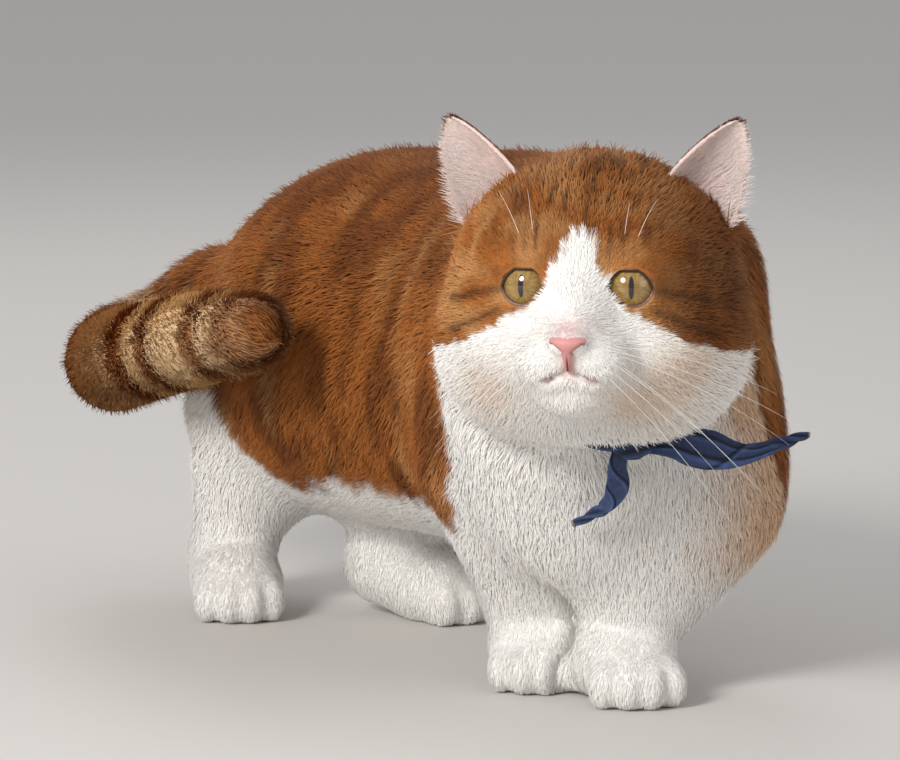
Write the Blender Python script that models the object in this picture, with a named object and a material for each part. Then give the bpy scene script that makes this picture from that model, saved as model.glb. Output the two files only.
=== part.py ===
"""A life-size munchkin cat, standing on four short legs with its head turned to its right.

Units are metres. The cat's trunk runs along Y and its chest faces -Y, its left side is +X, and the floor is
z = 0. The coat is part of every solid: each surface is where the tips of the fur lie.

The body is one rounded form. The trunk is a bent bar, each muscle mass is a ball or a limb, and body_field() blends
them into one smooth surface. A mesh of the same masses, joined by a voxel remesh, is drawn on to that surface and
then parted by thin cuts into head, neck, torso and legs.
"""

import math

import bmesh
import bpy
import numpy as np

# Gap between neighbouring pieces
GAP = 0.0003

# Middle of the cat's floor box, in the modelling axes used below
PLAN_CENTRE = (-0.00115, 0.02450)

# Trunk from rump to chest: x, y, z, half width, half height
TRUNK = (
    (0.012, 0.166, 0.106, 0.040, 0.050),
    (0.009, 0.132, 0.110, 0.057, 0.068),
    (0.013, 0.085, 0.118, 0.066, 0.077),
    (0.020, 0.025, 0.120, 0.067, 0.079),
    (0.021, -0.035, 0.120, 0.068, 0.079),
    (0.0155, -0.093, 0.103, 0.0705, 0.067),
)
TRUNK_END = 0.044
TRUNK_ROWS = 161
NECK_FROM = (0.006, -0.080, 0.140)
NECK_RADII = (0.056, 0.050)

# Fullness over the left shoulder: middle and radius
SHOULDER = ((0.055, -0.062, 0.152), 0.038)

# Head: middle, azimuth it faces (0 is -Y, negative turns to the cat's right)
HEAD = (-0.0285, -0.1445, 0.150)
HEAD_AZIMUTH = -39.0
EYE_PLACE = (0.0179, 0.0408, 0.0172)
EYE_RADIUS = 0.0108
LID_THICKNESS = 0.0014
EYE_OPENING = (0.0082, 0.0072)
EYE_TOE_OUT = 10.0
NOSE_TIP = (0.0, 0.0705, 0.0005)

# Ears: base, tip and half width at the base, as left, forward, up from the head's middle
EAR_BASE = (0.0340, 0.000, 0.0360)
EAR_TIP = (0.0530, 0.003, 0.0735)
EAR_HALF_WIDTH = 0.0165
EAR_TOE_OUT = 22.0
EAR_WALL = 0.0024
EAR_CUT = 0.0150
EAR_BOX = (0.020, 0.020, 0.025)

# Bend of an ear's shell from its middle to its edge, at its base and near its tip, in degrees
EAR_BENDS = (72.0, 42.0)
EAR_ROWS = 12
EAR_AROUND = 26

# Feet: middle of the sole x, y, azimuth of the toes
FEET = {
    "front_right": (-0.0063, -0.0697, -36.0),
    "front_left": (0.0075, -0.1127, -22.0),
    "hind_right": (-0.0347, 0.1256, -25.0),
    "hind_left": (0.0323, 0.0787, 20.0),
}
PAW_HALF_WIDTH = 0.0180
TOE_RADIUS = 0.0062

# Legs: top point, radius there, ankle point, radius there
LEGS = {
    "front_right": ((-0.014, -0.066, 0.085), 0.033, (-0.006, -0.064, 0.022), 0.0172),
    "front_left": ((0.0385, -0.0965, 0.072), 0.038, (0.010, -0.105, 0.022), 0.0172),
    "hind_right": ((-0.018, 0.140, 0.080), 0.0285, (-0.028, 0.142, 0.024), 0.0172),
    "hind_left": ((0.046, 0.112, 0.078), 0.036, (0.026, 0.098, 0.024), 0.0165),
}
HEELS = {
    "hind_right": (-0.025, 0.157, 0.020),
    "hind_left": (0.021, 0.104, 0.019),
}
HEEL_RADIUS = 0.0150

# Boxes that part the legs: a point between the pair, azimuth, half size to the side, along and up
LEG_BOXES = {
    "front": ((-0.002, -0.0986, 0.0205), -30.0, (0.062, 0.062, 0.0235)),
    "hind": ((-0.002, 0.115, 0.0205), 0.0, (0.066, 0.072, 0.0235)),
}

# Tail centreline from the rump round the bend to the tip, and radius at each point
TAIL = (
    (0.005, 0.185, 0.121, 0.0240),
    (0.003, 0.209, 0.117, 0.0230),
    (-0.007, 0.229, 0.109, 0.0225),
    (-0.029, 0.232, 0.100, 0.0225),
    (-0.052, 0.203, 0.099, 0.0220),
    (-0.067, 0.156, 0.107, 0.0215),
    (-0.075, 0.105, 0.117, 0.0205),
    (-0.077, 0.060, 0.126, 0.0190),
    (-0.078, 0.030, 0.131, 0.0165),
)
TAIL_ROWS = 41

# Rows of the centreline at which the tail is parted, half size of the box that parts it, rings of its tip
TAIL_CUTS = (7, 18, 29, 40)
TAIL_BOX = (0.045, 0.050, 0.045)
TAIL_TIP = (0.35, 0.62, 0.83, 0.95)

# Neckerchief: band round the neck, and its two hanging ends
THROAT = (-0.0270, -0.1720, 0.0970)
NAPE = (-0.0050, -0.0880, 0.1900)
BAND_SIDE_RADIUS = 0.0550
BAND_SIZE = (0.0120, 0.0030)
BAND_GROOVE = (0.0065, 0.0120)
KNOT = (-0.0185, -0.1695, 0.0990)
KNOT_RADII = (0.0085, 0.0065, 0.0070)
LEAF_PATH = (
    (-0.0165, -0.1690, 0.1000),
    (-0.0090, -0.1715, 0.1025),
    (0.0040, -0.1770, 0.1025),
    (0.0280, -0.1760, 0.1010),
    (0.0515, -0.1680, 0.1040),
)
LEAF_HALF_WIDTHS = (0.0035, 0.0055, 0.0085, 0.0075, 0.0012)
LEAF_FACES = (-0.35, -0.85, 0.40)
TAIL_END_PATH = (
    (-0.0215, -0.1680, 0.0985),
    (-0.0235, -0.1600, 0.0900),
    (-0.0265, -0.1560, 0.0810),
    (-0.0385, -0.1500, 0.0750),
)
TAIL_END_HALF_WIDTHS = (0.0030, 0.0050, 0.0055, 0.0012)
TAIL_END_FACES = (-0.50, -0.85, 0.10)
CLOTH_HALF_THICKNESS = 0.0022

# Boxes that part the head and neck: half sizes, and how far they lie out of the band's plane and along it
HEAD_BOX = (0.100, 0.095, 0.070)
HEAD_ABOVE_BAND = 0.0085
NECK_BOX = (0.100, 0.095, 0.0165)
NECK_BELOW_BAND = 0.0080
COLLAR_FORWARD = 0.0300

# Mesh sizes
BODY_VOXEL = 0.0040
HEAD_VOXEL = 0.0016
TRUNK_BALLS = 22
HEAD_BALLS = 5
BODY_TRIANGLES = 6300
HEAD_TRIANGLES = 3700

COLOURS = {
    "ginger": ((0.42, 0.17, 0.06), 0.85),
    "white": ((0.82, 0.78, 0.74), 0.85),
    "pink": ((0.75, 0.47, 0.42), 0.7),
    "amber": ((0.36, 0.23, 0.05), 0.1),
    "denim": ((0.04, 0.07, 0.17), 0.9),
}


def clear_scene():
    """Removes whatever objects the file opened with."""
    for old in list(bpy.data.objects):
        bpy.data.objects.remove(old, do_unlink=True)


def material(name):
    """A plain Principled finish from COLOURS."""
    colour, roughness = COLOURS[name]
    made = bpy.data.materials.get(name) or bpy.data.materials.new(name)
    made.use_nodes = True
    shader = made.node_tree.nodes["Principled BSDF"]
    shader.inputs["Base Color"].default_value = (*colour, 1.0)
    shader.inputs["Roughness"].default_value = roughness
    return made


def axes(azimuth, pitch=0.0):
    """Left, forward and up directions of something that faces an azimuth."""
    turn, lift = math.radians(azimuth), math.radians(pitch)
    left = np.array([math.cos(turn), math.sin(turn), 0.0])
    forward = np.array([math.sin(turn) * math.cos(lift), -math.cos(turn) * math.cos(lift), math.sin(lift)])
    return np.array([left, forward, np.cross(forward, left)])


def spot(origin, azimuth, offset):
    """World place of an offset given as left, forward, up."""
    return np.array(origin) + np.array(offset) @ axes(azimuth)


def ball(centre, radii, azimuth=0.0, pitch=0.0, blend=0.010):
    """An ellipsoid mass, with its radii as left, forward, up."""
    return {"kind": "ball", "centre": np.array(centre), "radii": np.array(radii),
            "axes": axes(azimuth, pitch), "blend": blend}


def limb(start, end, start_radius, end_radius, blend=0.012):
    """A round mass that tapers from one point to another."""
    return {"kind": "limb", "start": np.array(start), "end": np.array(end),
            "radii": (start_radius, end_radius), "blend": blend}


def head_ball(offset, radii, pitch=0.0, blend=0.008):
    """A ball placed in the head's own left, forward, up."""
    return ball(spot(HEAD, HEAD_AZIMUTH, offset), radii, HEAD_AZIMUTH, pitch, blend)


def head_limb(start, end, start_radius, end_radius, blend=0.008):
    """A limb placed in the head's own left, forward, up."""
    ends = (spot(HEAD, HEAD_AZIMUTH, offset) for offset in (start, end))
    return limb(*ends, start_radius, end_radius, blend)


def head_masses():
    """Skull, cheeks, brows, lids, muzzle and chin."""
    masses = [
        head_ball((0, -0.002, 0.018), (0.0500, 0.0490, 0.0440), blend=0.02),
        head_ball((0, 0.044, -0.008), (0.0210, 0.0200, 0.0175), blend=0.016),
        head_limb((0, 0.036, 0.021), (0, 0.0625, 0.0030), 0.0125, 0.0082, blend=0.012),
        head_ball(NOSE_TIP, (0.0068, 0.0060, 0.0052), blend=0.003),
        head_ball((0, 0.0560, -0.0205), (0.0110, 0.0095, 0.0072), blend=0.005),
    ]
    for side in (-1, 1):
        masses += [
            head_ball((0.0255 * side, 0.006, -0.010), (0.0325, 0.0352, 0.0310), blend=0.014),
            head_ball((0.0240 * side, 0.036, -0.004), (0.0170, 0.0130, 0.0120), blend=0.012),
            head_ball((0.0200 * side, 0.034, 0.0305), (0.0150, 0.0095, 0.0060), blend=0.012),
            head_ball((0.0082 * side, 0.0590, -0.0080), (0.0112, 0.0122, 0.0092), blend=0.005),
            head_ball((EYE_PLACE[0] * side, *EYE_PLACE[1:]), (EYE_RADIUS + LID_THICKNESS,) * 3, blend=0.005),
        ]
    return masses


def head_hollows():
    """The nostrils, the groove under the nose and the line of the mouth."""
    hollows = [head_limb((0, 0.0742, -0.0060), (0, 0.0735, -0.0130), 0.0009, 0.0009, blend=0.0015)]
    for side in (-1, 1):
        lip = ((0.0, 0.0725, -0.0135), (0.0075 * side, 0.0685, -0.0172), (0.0145 * side, 0.0600, -0.0172))
        hollows += [
            head_limb(lip[0], lip[1], 0.0012, 0.0012, blend=0.0015),
            head_limb(lip[1], lip[2], 0.0012, 0.0008, blend=0.0015),
            head_ball((0.0034 * side, 0.0760, -0.0012), (0.0016, 0.0024, 0.0010), blend=0.001),
        ]
    return hollows


def leg_masses(name):
    """One leg, its paw and four toes."""
    top, top_radius, ankle, ankle_radius = LEGS[name]
    x, y, azimuth = FEET[name]
    sole = (x, y, 0.0)
    masses = [limb(top, ankle, top_radius, ankle_radius, blend=0.022)]
    if name in HEELS:
        instep = spot(sole, azimuth, (0, 0, HEEL_RADIUS))
        masses.append(limb(HEELS[name], instep, HEEL_RADIUS, HEEL_RADIUS, blend=0.012))
    paw = spot(sole, azimuth, (0, 0.002, 0.0120))
    masses.append(ball(paw, (PAW_HALF_WIDTH, 0.0200, 0.0140), azimuth, blend=0.010))
    for place in (-1.5, -0.5, 0.5, 1.5):
        reach = 0.0190 - 0.0022 * place * place
        toe = spot(sole, azimuth, (0.0083 * place, reach, 0.0085))
        masses.append(ball(toe, (TOE_RADIUS, 0.0095, 0.0090), azimuth + 9.0 * place, blend=0.0022))
    return masses


def tail_root_masses():
    """The part of the tail that grows out of the rump, up to its first cut."""
    return [limb(TAIL[i][:3], TAIL[i + 1][:3], TAIL[i][3], TAIL[i + 1][3], blend=0.02) for i in range(2)]


def all_masses():
    """Every mass but the trunk, in the order in which they blend."""
    place, radius = SHOULDER
    masses = [limb(NECK_FROM, HEAD, *NECK_RADII, blend=0.035), ball(place, (radius, radius, radius), blend=0.020)]
    for name in FEET:
        masses += leg_masses(name)
    return masses + tail_root_masses() + head_masses()


def ball_field(points, mass):
    """Signed distance to an ellipsoid, near its surface."""
    local = (points - mass["centre"]) @ mass["axes"].T
    scaled = np.linalg.norm(local / mass["radii"], axis=1)
    slope = np.linalg.norm(local / mass["radii"] ** 2, axis=1)
    return scaled * (scaled - 1.0) / np.maximum(slope, 1e-9)


def limb_field(points, mass):
    """Signed distance to a tapered round bar."""
    along = mass["end"] - mass["start"]
    share = np.clip((points - mass["start"]) @ along / (along @ along), 0.0, 1.0)
    nearest = mass["start"] + share[:, None] * along
    radius = mass["radii"][0] + share * (mass["radii"][1] - mass["radii"][0])
    return np.linalg.norm(points - nearest, axis=1) - radius


def trunk_field(points):
    """Distance to a bent bar whose section is an ellipse that changes along it, with rounded ends."""
    table = smooth_path(TRUNK[::-1], TRUNK_ROWS)
    y = np.clip(points[:, 1], table[0, 1], table[-1, 1])
    x, z, wide, high = (np.interp(y, table[:, 1], table[:, column]) for column in (0, 2, 3, 4))
    beyond = points[:, 1] - y
    ends = table[[1, -1]] - table[[0, -2]]
    lean = np.where(beyond[:, None] < 0, ends[0] / ends[0, 1], ends[1] / ends[1, 1]) * beyond[:, None]
    sideways, upright = points[:, 0] - x - lean[:, 0], points[:, 2] - z - lean[:, 2]
    scaled = np.sqrt((sideways / wide) ** 2 + (upright / high) ** 2 + (beyond / TRUNK_END) ** 2)
    return (scaled - 1.0) * np.minimum(wide, high)


def blend_in(first, second, width):
    """Joins two distances with a fillet of about the given width."""
    near = np.maximum(width - np.abs(first - second), 0.0) / width
    return np.minimum(first, second) - near * near * width / 4


def mass_field(points, mass):
    """Distance to one mass."""
    return ball_field(points, mass) if mass["kind"] == "ball" else limb_field(points, mass)


def band_frame():
    """Middle of the band's loop, its directions across, along and out of its plane, and its two radii."""
    throat, nape = np.array(THROAT), np.array(NAPE)
    along = (nape - throat) / np.linalg.norm(nape - throat)
    across = np.array([along[1], -along[0], 0.0]) / math.hypot(along[0], along[1])
    radii = (BAND_SIDE_RADIUS, np.linalg.norm(nape - throat) / 2)
    return (throat + nape) / 2, np.array([across, along, np.cross(across, along)]), radii


def band_field(points):
    """Distance to the closed line in which the neckerchief's band lies."""
    middle, directions, radii = band_frame()
    flat = (points - middle) @ directions[:2].T / radii
    ring = flat / np.maximum(np.linalg.norm(flat, axis=1), 1e-9)[:, None]
    return np.linalg.norm(points - middle - (ring * radii) @ directions[:2], axis=1)


def body_field(points, masses, hollows):
    """Distance to the whole blended cat."""
    field = trunk_field(points)
    for mass in masses:
        field = blend_in(field, mass_field(points, mass), mass["blend"])
    for hollow in hollows:
        field = -blend_in(-field, mass_field(points, hollow), hollow["blend"])
    return -blend_in(-field, band_field(points) - BAND_GROOVE[0], BAND_GROOVE[1])


def new_object(name, mesh, finish=None):
    """Links a mesh as an object."""
    made = bpy.data.objects.new(name, mesh)
    bpy.context.scene.collection.objects.link(made)
    if finish:
        mesh.materials.clear()
        mesh.materials.append(material(finish))
    return made


def add_ellipsoid(form, centre, radii, directions, subdivisions=3):
    """Adds a closed round form to a bmesh."""
    made = bmesh.ops.create_icosphere(form, subdivisions=subdivisions, radius=1.0)["verts"]
    for vert in made:
        vert.co = np.array(centre) + (np.array(vert.co) * radii) @ directions
    form.normal_update()


def rough_body(masses, voxel, stations):
    """The masses as closed forms, joined into one skin by a voxel remesh."""
    form = bmesh.new()
    for station in stations:
        add_ellipsoid(form, station[:3], (station[3], TRUNK_END, station[4]), axes(0))
    for mass in masses:
        if mass["kind"] == "ball":
            add_ellipsoid(form, mass["centre"], mass["radii"], mass["axes"])
            continue
        for share in np.linspace(0, 1, 7):
            radius = mass["radii"][0] + share * (mass["radii"][1] - mass["radii"][0])
            add_ellipsoid(form, mass["start"] + share * (mass["end"] - mass["start"]), (radius,) * 3, axes(0))
    mesh = bpy.data.meshes.new("rough")
    form.to_mesh(mesh)
    form.free()
    rough = new_object("rough", mesh)
    remesh = rough.modifiers.new("join", "REMESH")
    remesh.mode = "VOXEL"
    remesh.voxel_size = voxel
    return applied(rough)


def applied(thing):
    """Applies an object's modifiers."""
    seen = thing.evaluated_get(bpy.context.evaluated_depsgraph_get())
    mesh = bpy.data.meshes.new_from_object(seen)
    thing.modifiers.clear()
    old, thing.data = thing.data, mesh
    bpy.data.meshes.remove(old)
    return thing


def vertices(thing):
    """An object's vertices as an array."""
    flat = np.empty(len(thing.data.vertices) * 3)
    thing.data.vertices.foreach_get("co", flat)
    return flat.reshape(-1, 3)


def fit_to_field(thing, masses, hollows, rounds=5):
    """Draws every vertex on to the blended surface, evening the mesh out on the way."""
    points = vertices(thing)
    edges = np.empty(len(thing.data.edges) * 2, dtype=int)
    thing.data.edges.foreach_get("vertices", edges)
    edges = edges.reshape(-1, 2)
    step = 0.0002
    ties = np.bincount(edges.ravel(), minlength=len(points))[:, None]
    for turn in range(rounds):
        if turn < rounds - 2:
            total = np.zeros_like(points)
            for axis in range(3):
                total[:, axis] = (np.bincount(edges[:, 0], points[edges[:, 1], axis], len(points))
                                  + np.bincount(edges[:, 1], points[edges[:, 0], axis], len(points)))
            points = 0.5 * points + 0.5 * total / ties
        value = body_field(points, masses, hollows)
        slope = np.column_stack([(body_field(points + step * one, masses, hollows) - value) / step
                                 for one in np.eye(3)])
        steep = np.maximum((slope ** 2).sum(1), 0.05)
        move = -(value / steep)[:, None] * slope
        size = np.linalg.norm(move, axis=1)[:, None]
        points = points + move * np.minimum(1.0, 0.004 / np.maximum(size, 1e-9))
    thing.data.vertices.foreach_set("co", points.ravel())
    thing.data.update()
    return thing


def is_closed(mesh):
    """Whether every edge of a mesh has two faces."""
    form = bmesh.new()
    form.from_mesh(mesh)
    closed = all(edge.is_manifold for edge in form.edges)
    form.free()
    return closed


def thinned(thing, triangles):
    """Collapses edges until about the given number of triangles is left, and the surface is still closed."""
    fine = thing.data.copy()
    fine.calc_loop_triangles()
    for attempt in range(12):
        thing.data = fine.copy()
        cut = thing.modifiers.new("thin", "DECIMATE")
        cut.ratio = triangles * (1 - 0.013 * attempt) / len(fine.loop_triangles)
        largest(applied(thing))
        if is_closed(thing.data):
            break
    return thing


def boolean(thing, operation, tool):
    """Applies one Boolean and removes its tool."""
    cut = thing.modifiers.new("cut", "BOOLEAN")
    cut.operation = operation
    cut.solver = "MANIFOLD"
    cut.object = tool
    applied(thing)
    bpy.data.objects.remove(tool, do_unlink=True)
    return largest(thing)


def largest(thing):
    """Keeps only the largest closed surface."""
    form = bmesh.new()
    form.from_mesh(thing.data)
    left = set(form.verts)
    groups = []
    while left:
        group, front = set(), [left.pop()]
        while front:
            vert = front.pop()
            group.add(vert)
            for edge in vert.link_edges:
                other = edge.other_vert(vert)
                if other in left:
                    left.remove(other)
                    front.append(other)
        groups.append(group)
    groups.sort(key=len)
    for group in groups[:-1]:
        bmesh.ops.delete(form, geom=list(group), context="VERTS")
    bmesh.ops.triangulate(form, faces=form.faces)
    form.to_mesh(thing.data)
    form.free()
    return thing


def block(centre, half, directions, grow=0.0):
    """A turned box used as a cutter, with its axes as rows of directions."""
    form = bmesh.new()
    bmesh.ops.create_cube(form, size=2.0)
    for vert in form.verts:
        vert.co = np.array(centre) + (np.array(vert.co) * (np.array(half) + grow)) @ np.array(directions)
    form.normal_update()
    bmesh.ops.recalc_face_normals(form, faces=form.faces)
    mesh = bpy.data.meshes.new("cutter")
    form.to_mesh(mesh)
    form.free()
    tool = new_object("cutter", mesh)
    tool.hide_render = True
    tool.display_type = "WIRE"
    return tool


def copy_of(thing, name):
    """A separate copy of an object and its mesh."""
    return new_object(name, thing.data.copy())


def part_off(body, name, box, finish):
    """Cuts the flesh inside a box off a body as a node of its own."""
    piece = boolean(copy_of(body, name), "INTERSECT", block(*box))
    piece.data.materials.clear()
    piece.data.materials.append(material(finish))
    boolean(body, "DIFFERENCE", block(*box, grow=GAP))
    return piece


def grid_mesh(name, rows, finish):
    """A closed tube of equal rings, with a flat fan of faces at each end."""
    rings, around = rows.shape[:2]
    points = np.vstack([rows.reshape(-1, 3), rows[0].mean(axis=0), rows[-1].mean(axis=0)])
    faces = []
    for ring in range(rings - 1):
        for step in range(around):
            low, high = ring * around + step, ring * around + (step + 1) % around
            faces += [(low, high, high + around), (low, high + around, low + around)]
    last = (rings - 1) * around
    for step in range(around):
        after = (step + 1) % around
        faces += [(rings * around, after, step), (rings * around + 1, last + step, last + after)]
    mesh = bpy.data.meshes.new(name)
    mesh.from_pydata(points.tolist(), [], faces)
    made = new_object(name, mesh, finish)
    form = bmesh.new()
    form.from_mesh(mesh)
    bmesh.ops.recalc_face_normals(form, faces=form.faces)
    form.to_mesh(mesh)
    form.free()
    return made


def smooth_path(given, count):
    """A smooth curve through the rows of given, read at even steps."""
    given = np.array(given, dtype=float)
    at = np.linspace(0, len(given) - 1, count)
    whole = np.clip(at.astype(int), 0, len(given) - 2)
    share = (at - whole)[:, None]
    padded = np.vstack([2 * given[0] - given[1], given, 2 * given[-1] - given[-2]])
    a, b, c, d = (padded[whole + step] for step in range(4))
    return 0.5 * (2 * b + (c - a) * share + (2 * a - 5 * b + 4 * c - d) * share ** 2
                  + (3 * b - a - 3 * c + d) * share ** 3)


def cloth_end(path, half_widths, normal, grow):
    """One free end of the neckerchief: a soft strip, flat across, that narrows to its corner."""
    line = smooth_path(np.column_stack([path, half_widths]), 10)
    rows = []
    for here, run in zip(line, np.gradient(line[:, :3], axis=0)):
        run = run / np.linalg.norm(run)
        out = np.array(normal) - run * (run @ np.array(normal))
        out /= np.linalg.norm(out)
        side = np.cross(run, out)
        angle = np.linspace(0, 2 * math.pi, 8, endpoint=False)
        rows.append(here[:3] + np.outer(np.cos(angle), side) * (here[3] + grow)
                    + np.outer(np.sin(angle), out) * (min(CLOTH_HALF_THICKNESS, here[3]) + grow))
    return grid_mesh("cloth", np.array(rows), "denim")


def neckerchief(name, grow):
    """The tied cloth: its band, its knot and both ends, joined in one piece."""
    cloth = band_ring(name, grow)
    form = bmesh.new()
    add_ellipsoid(form, KNOT, np.array(KNOT_RADII) + grow, axes(0), subdivisions=2)
    bmesh.ops.recalc_face_normals(form, faces=form.faces)
    knot = bpy.data.meshes.new("knot")
    form.to_mesh(knot)
    form.free()
    boolean(cloth, "UNION", new_object("knot", knot))
    boolean(cloth, "UNION", cloth_end(LEAF_PATH, LEAF_HALF_WIDTHS, LEAF_FACES, grow))
    boolean(cloth, "UNION", cloth_end(TAIL_END_PATH, TAIL_END_HALF_WIDTHS, TAIL_END_FACES, grow))
    return cloth


def band_ring(name, grow):
    """The neckerchief's band: a flat strip carried round the loop."""
    middle, directions, radii = band_frame()
    turns, around = 36, 6
    turn = np.linspace(0, 2 * math.pi, turns, endpoint=False)
    line = np.column_stack([np.cos(turn) * radii[0], np.sin(turn) * radii[1]]) @ directions[:2] + middle
    outward = np.column_stack([np.cos(turn) / radii[0], np.sin(turn) / radii[1]]) @ directions[:2]
    outward /= np.linalg.norm(outward, axis=1)[:, None]
    angle = np.linspace(0, 2 * math.pi, around, endpoint=False)
    wide = np.sign(np.cos(angle)) * np.abs(np.cos(angle)) ** 0.6 * (BAND_SIZE[0] / 2 + grow)
    thick = np.sin(angle) * (BAND_SIZE[1] / 2 + grow)
    rows = line[:, None] + wide[None, :, None] * directions[2] + thick[None, :, None] * outward[:, None]
    faces = []
    for ring in range(turns):
        for step in range(around):
            after = (step + 1) % around
            here, there = ring * around, (ring + 1) % turns * around
            faces += [(here + step, there + step, there + after), (here + step, there + after, here + after)]
    mesh = bpy.data.meshes.new(name)
    mesh.from_pydata(rows.reshape(-1, 3).tolist(), [], faces)
    form = bmesh.new()
    form.from_mesh(mesh)
    bmesh.ops.recalc_face_normals(form, faces=form.faces)
    form.to_mesh(mesh)
    form.free()
    return new_object(name, mesh, "denim")


def sphere(name, centre, radius, finish=None):
    """A closed round ball of a few hundred faces."""
    form = bmesh.new()
    bmesh.ops.create_uvsphere(form, u_segments=18, v_segments=10, radius=radius)
    bmesh.ops.triangulate(form, faces=form.faces)
    for vert in form.verts:
        vert.co = np.array(vert.co) + centre
    mesh = bpy.data.meshes.new(name)
    form.to_mesh(mesh)
    form.free()
    return new_object(name, mesh, finish)


def eye_centre(side):
    """Middle of an eyeball."""
    return spot(HEAD, HEAD_AZIMUTH, (EYE_PLACE[0] * side, *EYE_PLACE[1:]))


def eye_slot(side):
    """The opening between the lids: an almond carried straight out from the middle of the eye."""
    left, forward, up = axes(HEAD_AZIMUTH + EYE_TOE_OUT * side)
    turn = np.linspace(0, 2 * math.pi, 20, endpoint=False)
    wide = np.cos(turn) * EYE_OPENING[0]
    tall = np.sign(np.sin(turn)) * np.abs(np.sin(turn)) ** 1.25 * EYE_OPENING[1] - 0.12 * side * wide
    outline = np.outer(wide, left) + np.outer(tall, up) + eye_centre(side)
    rows = np.array([outline + forward * 0.003, outline + forward * 0.022])
    return grid_mesh("slot", rows, None)


def ear_frame(side):
    """Base of an ear, its length, and its directions across, to the front and up."""
    base, tip = (spot(HEAD, HEAD_AZIMUTH, (p[0] * side, p[1], p[2])) for p in (EAR_BASE, EAR_TIP))
    length = np.linalg.norm(tip - base)
    up = (tip - base) / length
    facing = axes(HEAD_AZIMUTH + EAR_TOE_OUT * side)[1]
    facing -= up * (facing @ up)
    facing /= np.linalg.norm(facing)
    return base, length, np.array([np.cross(facing, up), facing, up])


def ear(name, side):
    """A leaf-shaped shell, bent round its long axis so that it cups forward."""
    base, length, (across, facing, up) = ear_frame(side)
    rows = []
    for v in np.linspace(0, 0.985, EAR_ROWS):
        half = EAR_HALF_WIDTH * (1 - v ** 1.7) ** 0.75 + 0.0008
        bend = math.radians(EAR_BENDS[0] + (EAR_BENDS[1] - EAR_BENDS[0]) * v)
        wall = EAR_WALL * (1 - 0.45 * v)
        angle = np.linspace(-bend, bend, EAR_AROUND // 2)
        radius = half / math.sin(bend)
        arc = np.column_stack([np.sin(angle), -np.cos(angle)])
        ring = np.vstack([arc * radius, arc[::-1] * (radius - wall)]) + [0, radius * math.cos(bend)]
        rows.append(base + up * length * v + np.outer(ring[:, 0], across) + np.outer(ring[:, 1], facing))
    return grid_mesh(name, np.array(rows), "pink")


def tail_line():
    """The tail's centreline and radius, evenly read."""
    return smooth_path(TAIL, TAIL_ROWS)


def tail_length(name, first, last, finish):
    """One length of the tail between two rows of its centreline, with flat ends."""
    line = tail_line()
    run = np.gradient(line[:, :3], axis=0)
    run /= np.linalg.norm(run, axis=1)[:, None]
    angle = np.linspace(0, 2 * math.pi, 16, endpoint=False)
    side = np.cross(run, (0, 0, 1.0))
    side /= np.linalg.norm(side, axis=1)[:, None]
    upward = np.cross(side, run)
    rows = []
    for i in range(first, last + 1):
        centre = line[i, :3] + run[i] * (GAP if i == first else 0.0)
        spokes = np.outer(np.cos(angle), side[i]) + np.outer(np.sin(angle), upward[i])
        rows.append(centre + line[i, 3] * spokes)
    if last == len(line) - 1:
        for share in TAIL_TIP:
            shrink = math.sqrt(1 - share * share)
            centre = line[-1, :3] + run[-1] * line[-1, 3] * share
            rows.append(centre + shrink * (rows[last - first] - line[-1, :3]))
    return grid_mesh(name, np.array(rows), finish)


def leg_box(name):
    """The box that holds one leg: one side of a plane between the pair, up to the body."""
    middle, azimuth, half = LEG_BOXES[name.split("_")[0]]
    side = -1 if name.endswith("right") else 1
    centre = spot(middle, azimuth, (side * (half[0] + GAP / 2), 0, 0))
    return centre, half, axes(azimuth)


def floor_block():
    """Everything under the floor."""
    return block((0, 0, -0.05), (0.4, 0.4, 0.05), axes(0))


def head_box():
    """The box that holds the head, its lower face just above the neckerchief's band."""
    middle, directions, _ = band_frame()
    centre = middle + directions[2] * (HEAD_BOX[2] + HEAD_ABOVE_BAND) - directions[1] * COLLAR_FORWARD
    return centre, HEAD_BOX, directions


def neck_box():
    """The box that holds the neck, under the head's."""
    middle, directions, _ = band_frame()
    return middle - directions[2] * NECK_BELOW_BAND - directions[1] * COLLAR_FORWARD, NECK_BOX, directions


def tail_box(row):
    """A box beyond a row of the tail's centreline, across it."""
    line = tail_line()
    run = line[row + 1, :3] - line[row - 1, :3]
    run /= np.linalg.norm(run)
    side = np.cross(run, (0, 0, 1.0))
    side /= np.linalg.norm(side)
    return block(line[row, :3] + run * TAIL_BOX[1], TAIL_BOX, np.array([side, run, np.cross(side, run)]))


def make_eyes(head):
    """Cuts the openings between the lids and seats a ball in each."""
    for side, name in ((1, "eye_left"), (-1, "eye_right")):
        boolean(head, "DIFFERENCE", eye_slot(side))
        boolean(head, "DIFFERENCE", sphere("socket", eye_centre(side), EYE_RADIUS + GAP))
        sphere(name, eye_centre(side), EYE_RADIUS, "amber")


def make_ears(head):
    """Joins each ear to the head and parts it again at a flat cut."""
    for side, name in ((1, "ear_left"), (-1, "ear_right")):
        boolean(head, "UNION", ear("shell", side))
        part_off(head, name, ear_box(side), "pink")


def ear_box(side):
    """The box that holds an ear, from its cut outwards."""
    base, _, directions = ear_frame(side)
    return base + directions[2] * (EAR_CUT + EAR_BOX[2]), EAR_BOX, directions


def settle():
    """Moves every piece so that the middle of the floor box is the origin."""
    for piece in bpy.data.objects:
        points = vertices(piece) - [*PLAN_CENTRE, 0.0]
        piece.data.vertices.foreach_set("co", points.ravel())
        piece.data.update()
        piece.data.shade_smooth()


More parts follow.
